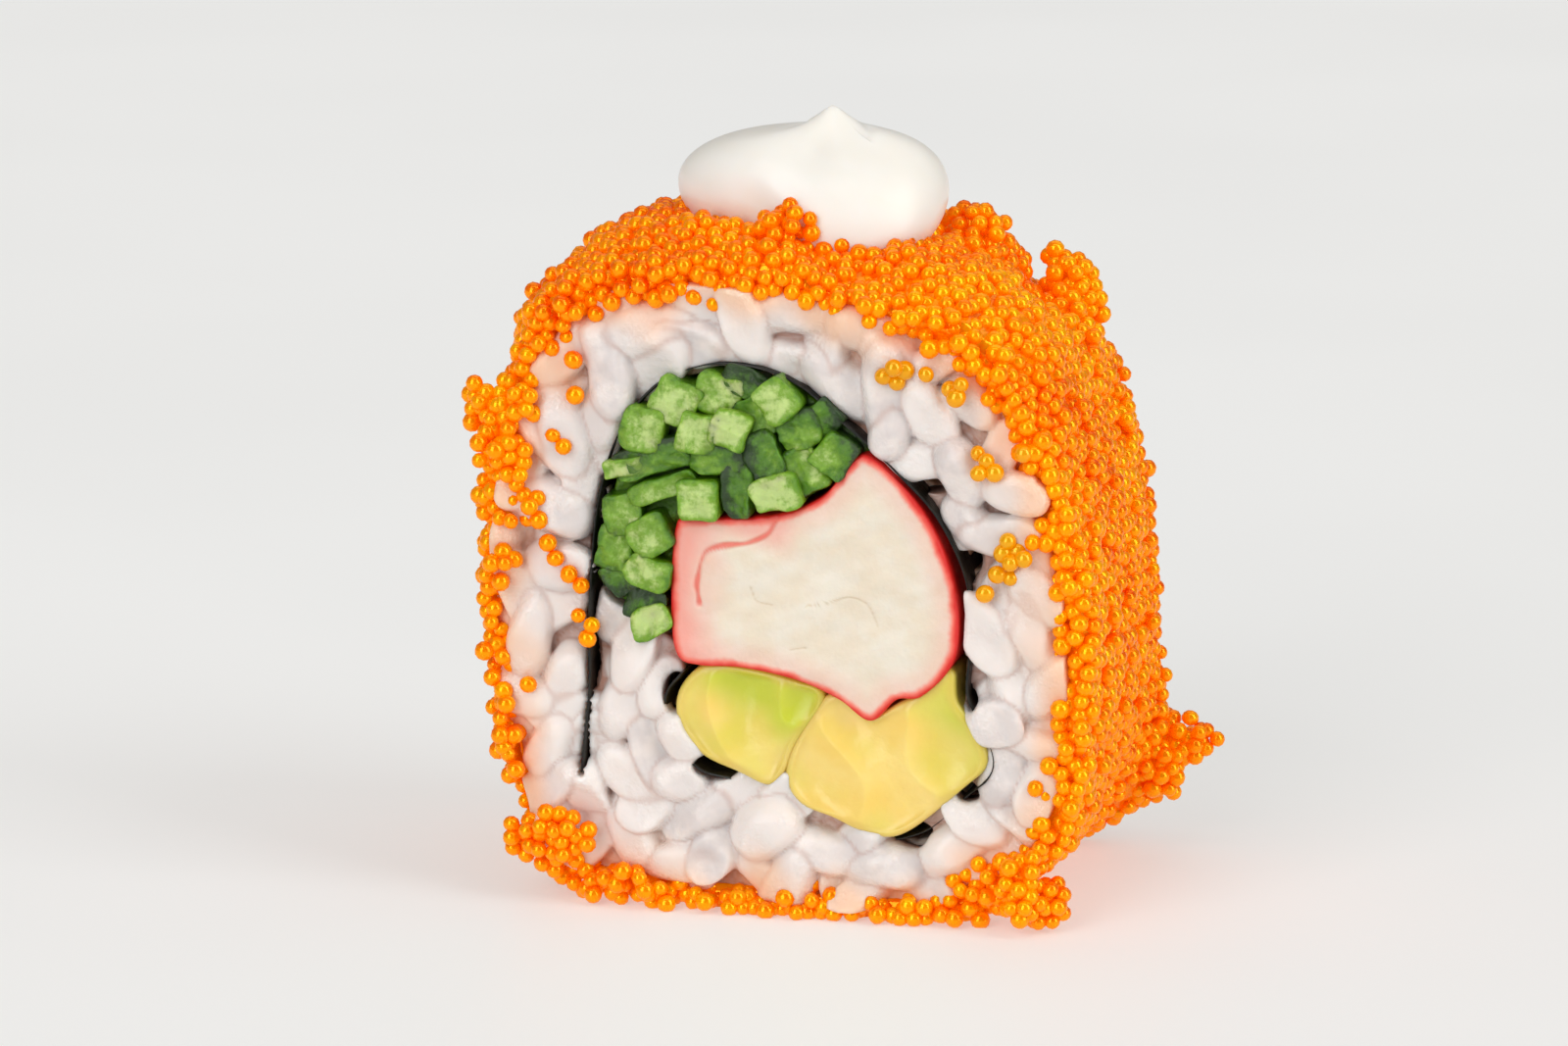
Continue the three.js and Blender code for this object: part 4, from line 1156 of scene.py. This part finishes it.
def egg_layers():
    """Where the eggs start, as the way round the roll, the depth and the height off the rice, and the
    lowest height of each. The outermost layer comes first, and all are thinned out where the coat is
    patchy."""
    chance = np.random.default_rng(71)
    rows = []
    for layer in range(5):
        y = np.arange(-HALF + EGG, HALF - EGG + 0.1, EGG_STEP * 0.87)
        grid_y, grid_s = np.meshgrid(y, np.arange(0, ROUND, EGG_STEP), indexing="ij")
        grid_s = grid_s + (np.arange(len(y)) % 2)[:, None] * EGG_STEP / 2 + layer * 0.5
        flat_y, flat_s = grid_y.ravel(), grid_s.ravel()
        flat_y = flat_y + chance.normal(0, 0.24, flat_y.size)
        flat_s = flat_s + chance.normal(0, 0.24, flat_s.size)
        spot, _ = on_roll(flat_s, np.zeros(flat_s.size))
        at = np.column_stack([spot[:, 0], flat_y, spot[:, 1]])
        edge = smoothstep((HALF - np.abs(flat_y)) / EGG, 0, 3)
        thick = coat_thickness(*at.T) * mix(0.75, 1, edge) + chance.normal(0, 0.2, flat_y.size)
        height = thick - EGG * 0.9 - layer * EGG_LAYER
        # Near a cut, eggs may sink beside the rice. Elsewhere only the two outer layers are kept
        near_cut = HALF - np.abs(flat_y) < 1.3
        low = np.where(near_cut, -0.3 - 0.9 * np.maximum(ripple(at, 6, 24), 0), EGG * 0.8)
        keep = np.where(near_cut, height > low - 0.15, (height > EGG * 0.5) & (layer < 2)) | (layer == 0)
        height = np.maximum(height, low)
        left = smoothstep(-spot[:, 0], 12, 17) * smoothstep(38 - spot[:, 1], 0, 6)
        bare = ripple(at, 5.5, 21) + 0.5 * ripple(at, 2.2, 22) > mix(9, 0.45, left)
        state = np.column_stack([flat_s, flat_y, height + GAP])
        state += chance.normal(0, 1, state.shape) * [0.3, 0.2, 0.2] * near_cut[:, None]
        rows.append(np.column_stack([state, low])[keep & ~bare])
    rows = np.vstack(rows)
    return rows[:, :3], rows[:, 3]


def placed(state):
    """The points in space of places given as the way round the roll, the depth and the height."""
    spot, _ = on_roll(state[:, 0], state[:, 2])
    return np.column_stack([spot[:, 0], state[:, 1], spot[:, 1]])


def coat_eggs():
    """The eggs of the coat, pushed apart in space. Each push is turned into a way round the roll, along
    its depth and off its surface, so that each egg stays within its own range of heights."""
    state, low = egg_layers()
    top = state[:, 2] + 0.4
    for n in range(18):
        at = placed(state)
        if n % 6 == 0:
            pairs = touching(at, EGG * 2.8)
        move = pushes(at, pairs, EGG * 1.8, 0.3)
        _, normal = on_roll(state[:, 0], state[:, 2])
        out = move[:, 0] * normal[:, 0] + move[:, 2] * normal[:, 1]
        round_by = -move[:, 0] * normal[:, 1] + move[:, 2] * normal[:, 0]
        state += np.column_stack([round_by, move[:, 1], out])
        state[:, 1] = np.clip(state[:, 1], -HALF - 0.3, HALF + 0.3)
        state[:, 2] = np.clip(state[:, 2], low, top)
    return placed(state)


# The cream's middle and half sizes, in x and y, since no eggs lie under it
CREAM_MIDDLE = np.array([-0.65, 0.8])
CREAM_REACH = np.array([8.8, 7.3])


def cream_notch(angle):
    """How much the cream's edge draws in at an angle: a bell round the front, a little to the left."""
    return 0.1 * np.exp(-((np.angle(np.exp(1j * (angle - 4.45))) / 0.3) ** 2))


def cream_share(x, y):
    """How far (x, y) lies from the middle of the cream, where 1 is its edge, notched at the front."""
    u, v = (x - CREAM_MIDDLE[0]) / CREAM_REACH[0], (y - CREAM_MIDDLE[1]) / CREAM_REACH[1]
    return np.hypot(u, v) / (1 - cream_notch(np.arctan2(v, u)))


eggs = coat_eggs()
# No eggs under the cream or inside the grain over the roe, and none below the table
eggs = eggs[~((cream_share(eggs[:, 0], eggs[:, 1]) < 0.86) & (eggs[:, 2] > 38))]
eggs = eggs[(eggs[:, 1] > 3 - HALF) | (over_roe(eggs[:, 0], eggs[:, 2]) > 0.06)]
eggs[:, 2] = np.maximum(eggs[:, 2], EGG * 0.9)
print(f"{len(eggs)} eggs in the coat")

# %% [markdown]
# Besides the even coat there are heaps on top, clumps that hang over the cut face, and loose eggs on the
# rice. A clump is an egg-shaped room, given by its middle and half sizes. Its eggs are thrown in at random
# and then pushed apart.

# %% Clumps and loose eggs
# Each clump is its middle and half sizes, in x, y and z
CLUMPS = [
    ((-18.7, -11, 32), (1.7, 1, 2.5)), ((-20, -11, 33.6), (0.9, 0.8, 1.3)),
    ((-19, -11, 26.6), (1, 0.9, 2)), ((-18.1, -12.4, 29.8), (1.8, 0.8, 2.6)),
    ((-16.8, -12.4, 26.2), (2.2, 0.6, 1)), ((-18.2, -12.4, 22.8), (1, 0.6, 1.6)),
    ((-14.4, -12.5, 4.6), (2.2, 0.8, 2)), ((-16.8, -11.2, 4.2), (1.4, 0.9, 1.7)),
    ((-9.8, -12.4, 1.9), (2.2, 0.6, 0.8)), ((16.2, -12.4, 3.2), (1.6, 0.8, 2.4)),
    ((17.2, -10.8, 2), (1.8, 1.1, 1.5)), ((-16.4, -12.3, 33.6), (1, 0.6, 1.6)),
    ((20.6, 10.4, 6.4), (2, 1.7, 3.4)), ((22.6, 10.8, 7.6), (1.8, 1, 1.5)),
    ((24, 10.8, 8), (1, 0.7, 0.7)), ((14.9, 8.6, 37.6), (1.7, 1.7, 2.8)),
    ((15.9, 8.6, 37), (1.2, 1.2, 2.1)), ((14.1, 8.4, 39.9), (0.9, 0.9, 1)),
    ((-14, 0, 40.8), (1.6, 1.4, 1.8)), ((9.4, 4.4, 42.4), (2.2, 1.8, 1.8)),
    ((18.9, 8, 30), (0.8, 0.7, 0.6)), ((-9.4, -2, 43.6), (1.2, 1.6, 1)),
    ((-17.9, -12.2, 12), (0.7, 0.6, 2.4)), ((-0.4, -7.3, 44.6), (1.9, 1, 1.5)),
]
AMBER_CLUMPS = [
    ((7.6, -12.3, 36.7), (1, 0.6, 1)), ((13.6, -12.5, 30.6), (1, 0.6, 1.1)),
    ((15.5, -12.3, 24.4), (1.1, 0.6, 1.6)), ((11.8, -12.2, 35.6), (1.2, 0.5, 0.8)),
]
# Eggs alone or a few in a row on the front cut face, as (x, z)
LONE_EGGS = [
    (-13.1, 33.9), (-14.6, 31.2), (-13.9, 30.5), (-15, 24.1), (-14.5, 23.1), (-13.6, 22.1), (-12.8, 21.4),
    (-13, 19.4), (-12.1, 18.8), (-12.4, 17.9), (-7.6, 1.5), (-8.4, 1.1), (-16.4, 14.6), (-13.2, 36.2),
]
LONE_AMBER = [(13.8, 22.4), (16.2, 31.6), (9.9, 36.4)]


def clump_eggs(clumps, seed):
    """Eggs thrown at random into each clump, about as many as fit, and settled inside it."""
    chance = np.random.default_rng(seed)
    found = []
    for middle, half in clumps:
        count = int(0.95 * np.prod(half) / EGG**3)
        start = chance.normal(size=(count, 3))
        start *= (chance.uniform(0, 1, count) ** (1 / 3) / np.linalg.norm(start, axis=1))[:, None]
        start = start * half + middle

        def within(moved, middle=np.array(middle), half=np.array(half)):
            share = np.linalg.norm((moved - middle) / half, axis=1)
            return middle + (moved - middle) / np.maximum(share, 1)[:, None]

        found.append(settled(start, EGG * 1.75, 30, within))
    return np.vstack(found)


def lone_eggs(spots):
    """Eggs that rest on the rice of the front cut face."""
    x, z = np.array(spots).T
    return np.column_stack([x, np.full(len(x), -HALF - 0.3), z])


eggs = np.vstack([eggs, clump_eggs(CLUMPS, 83), lone_eggs(LONE_EGGS)])
amber = np.vstack([clump_eggs(AMBER_CLUMPS, 84), lone_eggs(LONE_AMBER)])
print(f"{len(eggs)} eggs with the clumps, and {len(amber)} clear ones")


# %% [markdown]
# One egg is a small closed ball of 80 faces, slightly flattened, turned and sized at random, and one of
# the few clear eggs has 320. A particle system or Geometry Nodes could place copies of one ball, but here
# all eggs of a slice become one mesh, so that each point can carry its egg's tone and painted glow. The
# tone follows soft patches over the coat, redder at the top left and in places on the right, yellower
# along the front rim on the right, with a little that is the egg's own.

# %% Eggs as meshes
def ball(rounds=1):
    """A unit ball: an icosahedron whose edges are halved `rounds` times, with every point at radius 1.
    Its corners are (0, 1, golden ratio) with all signs and turns, and its edges are 2 long."""
    golden = (1 + math.sqrt(5)) / 2
    signs = [(a, b * golden) for a in (-1, 1) for b in (-1, 1)]
    points = np.array([np.roll((0, a, b), turn) for turn in range(3) for a, b in signs])
    near = np.isclose(np.linalg.norm(points[:, None] - points[None], axis=-1), 2)
    faces = np.array([t for t in itertools.combinations(range(12), 3) if near[np.ix_(t, t)].sum() == 6])
    outwards = np.linalg.det(points[faces]) > 0
    faces = np.where(outwards[:, None], faces, faces[:, ::-1])
    for _ in range(rounds):
        sides = np.sort(faces[:, [[0, 1], [1, 2], [2, 0]]], axis=2).reshape(-1, 2)
        halved, number = np.unique(sides, axis=0, return_inverse=True)
        ab, bc, ca = (number.reshape(-1, 3) + len(points)).T
        points = np.vstack([points, points[halved].mean(1)])
        a, b, c = faces.T
        faces = np.hstack([[a, ab, ca], [b, bc, ab], [c, ca, bc], [ab, bc, ca]]).T
    return points / np.linalg.norm(points, axis=1)[:, None], faces


def turned(count, chance):
    """Random turns as matrices, from unit quaternions."""
    q = chance.normal(size=(count, 4))
    a, b, c, d = (q / np.linalg.norm(q, axis=1)[:, None]).T
    rows = [
        [1 - 2 * (c * c + d * d), 2 * (b * c - a * d), 2 * (b * d + a * c)],
        [2 * (b * c + a * d), 1 - 2 * (b * b + d * d), 2 * (c * d - a * b)],
        [2 * (b * d - a * c), 2 * (c * d + a * b), 1 - 2 * (b * b + c * c)],
    ]
    return np.moveaxis(np.array(rows), 2, 0)


def egg_tone(at, chance):
    """From 0, red, to 1, yellow: patches over the coat, redder at the top left, yellower along the front
    rim on the right, on the heap at the back and on the left, and each egg's own part."""
    x, y, z = at.T
    rim = (1 - smoothstep(y + HALF, 0.2, 3)) * smoothstep(x, 2, 9)
    left = (1 - smoothstep(x, -15, -11)) * (1 - smoothstep(z, 33, 38))
    top_left = smoothstep(z, 34, 40) * (1 - smoothstep(x, -9, -2))
    patch = ripple(at, 11, 51) * 0.26 + ripple(at, 4, 52) * 0.26
    heap = smoothstep(x, 10, 13) * smoothstep(z, 34, 38)
    alone = chance.normal(0, 0.08, len(at))
    return np.clip(0.52 + 0.3 * rim + 0.15 * left - 0.42 * top_left + 0.35 * heap + patch + alone, 0, 1)


# Painted glow: the side of each egg away from a fixed light from above and behind is painted yellower and
# glows more, standing in for the light that gathers at the far side of a clear bead
GLOW_FROM = np.array([0.1, 0.5, 0.86])


def egg_piece(name, at, seed, material=fish_roe, rounds=1):
    """Balls at the given places, each a random turn and size, in one mesh, and none below the table."""
    chance = np.random.default_rng(seed)
    shape, faces = ball(rounds)
    grown = chance.uniform(0.88, 1.12, (len(at), 1))
    pressed = chance.uniform([0.95, 0.95, 0.88], 1, (len(at), 3))
    size = SWELL * EGG * grown * pressed
    local = np.einsum("nij,vj,nj->nvi", turned(len(at), chance), shape, size)
    points = local + at[:, None]
    points[..., 2] = np.maximum(points[..., 2], 0.02)
    # Painted glow, highest on the side of each egg away from the light direction above
    painted_glow = smoothstep(-(local @ GLOW_FROM) / EGG, -0.35, 0.75)
    every = (faces[None] + (np.arange(len(at)) * len(shape))[:, None, None]).reshape(-1, 3)
    values = {"tone": np.repeat(egg_tone(at, chance), len(shape)), "painted_glow": painted_glow.ravel()}
    piece(name, points.reshape(-1, 3), every, material, "roe_coat", values)


# Slices across the roll's depth, so that each piece stays under 200,000 triangles
for number, (low, high) in enumerate([(-20, -7.5), (-7.5, 0), (0, 7.5), (7.5, 20)], 1):
    part = eggs[(eggs[:, 1] >= low) & (eggs[:, 1] < high)]
    egg_piece(f"roe_eggs_{number}", part, 90 + number)
egg_piece("roe_loose", amber, 97, clear_roe, 2)

# %% [markdown]
# Under the eggs that show lie more eggs. A bumpy bed of the same finish stands for them, which saves many
# thousands of balls. It runs a little below the outer eggs' tops, and dips under the rice where the coat
# is patchy.

# %% The bed under the eggs
def roe_bed(columns=420, rows=64):
    """A sleeve round the rice: for each row across the roll, the thickness of the coat less about 0.4 mm,
    with bumps of about an egg's size, and an inner wall just inside the rice."""
    y = np.concatenate([np.linspace(-HALF + 1.2, HALF - 1.2, rows), [HALF - 1.2, -HALF + 1.2]])
    outer = np.concatenate([np.ones(rows), [0, 0]])[:, None]
    along = np.arange(columns) * ROUND / columns
    spot, _ = on_roll(along, np.zeros(columns))
    thick = coat_thickness(spot[None, :, 0], y[:, None], spot[None, :, 1])
    left = smoothstep(-spot[:, 0], 10, 16) * smoothstep(38 - spot[:, 1], 0, 6)
    s, depth = np.broadcast_arrays(along[None], y[:, None])
    bumps = 0.16 * np.sin(s * 5.6 + np.sin(depth * 2.1)) * np.sin(depth * 5.8 + np.sin(s * 1.7))
    place = np.stack(np.broadcast_arrays(spot[None, :, 0], depth, spot[None, :, 1]), -1)
    sunk = 0.42 + 0.12 * ripple(place, 3, 57)
    height = thick - sunk + bumps - 0.9 * left[None]
    height = mix(-0.6, np.clip(height, -0.5, 9), outer)
    flat, _ = on_roll(s.ravel(), height.ravel() + GAP)
    points = np.column_stack([flat[:, 0], depth.ravel(), np.maximum(flat[:, 1], 0.05)])
    tone = np.clip(0.36 + 0.2 * ripple(points, 6, 55), 0, 1)
    # The bed gets a low, even share of the eggs' painted glow
    values = {"tone": tone, "painted_glow": np.full(len(points), 0.15)}
    piece("roe_bed", points, grid_faces(len(y), columns, True), fish_roe, "roe_coat", values)


roe_bed()

# %% [markdown]
# ## Cream
#
# The cream is mayonnaise, piped on and left to slump: a flattened dollop with two lobes towards the
# front, a shallow valley between them and a small tip where the nozzle left it. Its surface is smooth and
# glossy. It could be sculpted, but as one surface over two parameters each of its features is a number:
# the angle round the dollop, and the way from the top over the rim to the underside.

# %% Cream finish and dollop
whipped_mayonnaise, tree, shader = finish(
    "whipped_mayonnaise", Roughness=0.34, IOR=1.46, Subsurface_Weight=0.5, Subsurface_Scale=0.0022,
    Subsurface_Radius=(1.0, 0.85, 0.7), Coat_Weight=0.2, Coat_Roughness=0.25,
)
place = add(tree, "TexCoord", out="Object")
yolk, swell = (
    add(tree, "TexNoise", {"Vector": place, "Scale": 1000 / size, "Detail": detail, "Roughness": 0.5})
    for size, detail in ((5, 2), (2.2, 1))
)
yolk = add(tree, "MapRange", {0: yolk, 1: 0.3, 2: 0.75}, **SOFTLY)
body = add(tree, "Mix", {0: yolk, 6: "E9E5DC", 7: "EDEAE4"}, **COLOURS)
smooth_skin = add(tree, "Bump", {"Height": swell, "Distance": 0.1 / 1000, "Strength": 0.35})
wire(tree, shader, Base_Color=body, Normal=smooth_skin)

TIP = np.array([1, -0.6, 51.4])
TOP, BELLY, FOOT = 49.9, 46, 41  # heights of the dollop without its tip, in mm


def cream(columns=200, rows=110):
    """The dollop: `swing` runs from the top, 0, to the underside, pi, and the reach from the middle is
    its sine to the power 0.8, wider at one lobe and notched at the front. The upper rings gather at the
    tip. The height falls from the top to the belly and on to the foot, most at the lobe. A soft peak rises
    at the tip, with a crease round each side of it and a valley that runs to the notch."""
    swing = np.linspace(0, math.pi, rows)[:, None]
    angle = np.linspace(0, 2 * math.pi, columns, endpoint=False)[None]
    notch = cream_notch(angle) * smoothstep(swing, 0.7, 1.5)
    lobe = np.maximum(np.cos(angle - 5.2), 0) ** 3
    reach = np.sin(swing) ** 0.8 * (1 + 0.03 * np.cos(2 * angle + 1) + 0.12 * lobe) * (1 - notch)
    base = np.where(swing < math.pi / 2, np.sin(swing), 1)
    x = mix(TIP[0], CREAM_MIDDLE[0], base) + reach * CREAM_REACH[0] * np.cos(angle)
    y = mix(TIP[1], CREAM_MIDDLE[1], base) + reach * CREAM_REACH[1] * np.sin(angle)
    to_tip = np.hypot(x - TIP[0], y - TIP[1])
    bearing = np.arctan2(y - TIP[1], x - TIP[0])
    up = np.maximum(np.cos(swing), 0)
    down = np.maximum(-np.cos(swing), 0)
    z = BELLY + (TOP - BELLY) * up - (BELLY - FOOT) * down - 2.2 * lobe * reach
    peak = (TIP[2] - TOP) * np.exp(-((to_tip / 1.5) ** 1.4))
    crease = 0.3 * bell(to_tip, 2.3, 0.5) * bell(np.cos(bearing) ** 2, 1, 0.35) * (np.sin(bearing) > -0.35)
    valley = 0.5 * bell(bearing, -1.75, 0.4) * smoothstep(to_tip, 0.8, 3) * up
    z = z + np.where(swing < math.pi / 2, peak - crease - valley, 0)
    points = np.stack([x, y, z], -1).reshape(-1, 3)
    faces = grid_faces(rows, columns)
    close_poles(piece("cream_dollop", points, faces, whipped_mayonnaise, "cream"))


cream()

# %% [markdown]
# ## Floor
#
# The roll lies on a bare pale surface, as evenly bright as a light table. The floor glows faintly, which
# keeps the shadow under the roll pale, and it has a barely visible smudge or two.

# %% Floor
pale_table, tree, shader = finish(
    "pale_table", Roughness=0.55, IOR=1.45, Emission_Color=colour("F6F5F2"), Emission_Strength=0.43,
)
place = add(tree, "TexCoord", out="Object")
smudge = add(tree, "TexNoise", {"Vector": place, "Scale": 1000 / 90, "Detail": 2, "Roughness": 0.5})
smudge = add(tree, "MapRange", {0: smudge, 1: 0.3, 2: 0.7}, **SOFTLY)
body = add(tree, "Mix", {0: smudge, 6: "B5B6B6", 7: "B9BABA"}, **COLOURS)
wire(tree, shader, Base_Color=body)
mesh = bpy.data.meshes.new("floor")
mesh.from_pydata([(-3, -3, 0), (3, -3, 0), (3, 3, 0), (-3, 3, 0)], [], [(0, 1, 2, 3)])
mesh.materials.append(pale_table)
floor = bpy.data.objects.new("floor", mesh)
bpy.context.scene.collection.objects.link(floor)
floor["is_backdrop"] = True
print("floor: 6 m square")

# %% [markdown]
# ## Light
#
# The light is soft and comes from all round: a dim pale room, and four large softboxes a few metres off,
# at the front left, at the right, above and behind. The first two give each egg its small upright
# highlight, and the one behind brightens the top of the roll.

# %% Light
world = bpy.data.worlds.new("soft room")
bpy.context.scene.world = world
world.use_nodes = True
world.node_tree.nodes["Background"].inputs["Color"].default_value = colour("FFFCF8")
world.node_tree.nodes["Background"].inputs["Strength"].default_value = 0.25
bpy.context.scene.view_settings.view_transform = "Standard"
ROLL = Vector((0, 0, 0.03))  # what the softboxes face, in metres


def softbox(name, place, width, height, power):
    """A rectangular area light at a place in metres, of a width and height in metres and a power in
    watts, that faces the roll."""
    lamp = bpy.data.lights.new(name, "AREA")
    lamp.shape = "RECTANGLE"
    lamp.size, lamp.size_y, lamp.energy = width, height, power
    made = bpy.data.objects.new(name, lamp)
    made.location = place
    made.rotation_euler = (ROLL - Vector(place)).to_track_quat("-Z", "Y").to_euler()
    bpy.context.scene.collection.objects.link(made)
    print(f"softbox {name}: {width} by {height} m, {power} W")


softbox("front", (-1.27, -3.49, 1.73), 2.2, 4.2, 100)
softbox("side", (3.5, -0.94, 1.92), 2, 4.2, 92)
softbox("top", (0.18, -1.05, 3.96), 4.3, 1.2, 24)
softbox("overhead", (0, 2.25, 3.9), 5, 4, 40)

# %% [markdown]
# ## Camera
#
# The camera looks at the cut face from 14 degrees to the right and 13 degrees above, through a long lens,
# as food is often photographed.

# %% Camera
AZIMUTH, ELEVATION = math.radians(14), math.radians(13)
DISTANCE = 0.4  # metres from the target
LOOKED_AT = np.array([0.6 + SHIFT_X, -12, 26.21])  # mm, near the middle of the front cut face
back = np.array([
    math.sin(AZIMUTH) * math.cos(ELEVATION), -math.cos(AZIMUTH) * math.cos(ELEVATION), math.sin(ELEVATION),
])
target = LOOKED_AT / 1000
lens = bpy.data.cameras.new("camera")
lens.lens, lens.sensor_width = 144, 36  # mm
lens.clip_start = 0.01  # metres
camera = bpy.data.objects.new("camera", lens)
camera.location = target + back * DISTANCE
camera.rotation_euler = (math.pi / 2 - ELEVATION, 0, AZIMUTH)
bpy.context.scene.collection.objects.link(camera)
bpy.context.scene.camera = camera
print("camera at", (target + back * DISTANCE).round(3), "m")

# %% [markdown]
# ## Size
#
# The last cell prints the size of the dressed roll. It may differ from the box of the imported solids
# only by the eggs and grains that stand out a little from the coat and the cut faces.

# %% Size and finish
low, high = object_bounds()
print("visual box", [round(v * 1000, 1) for v in (*low, *high)])
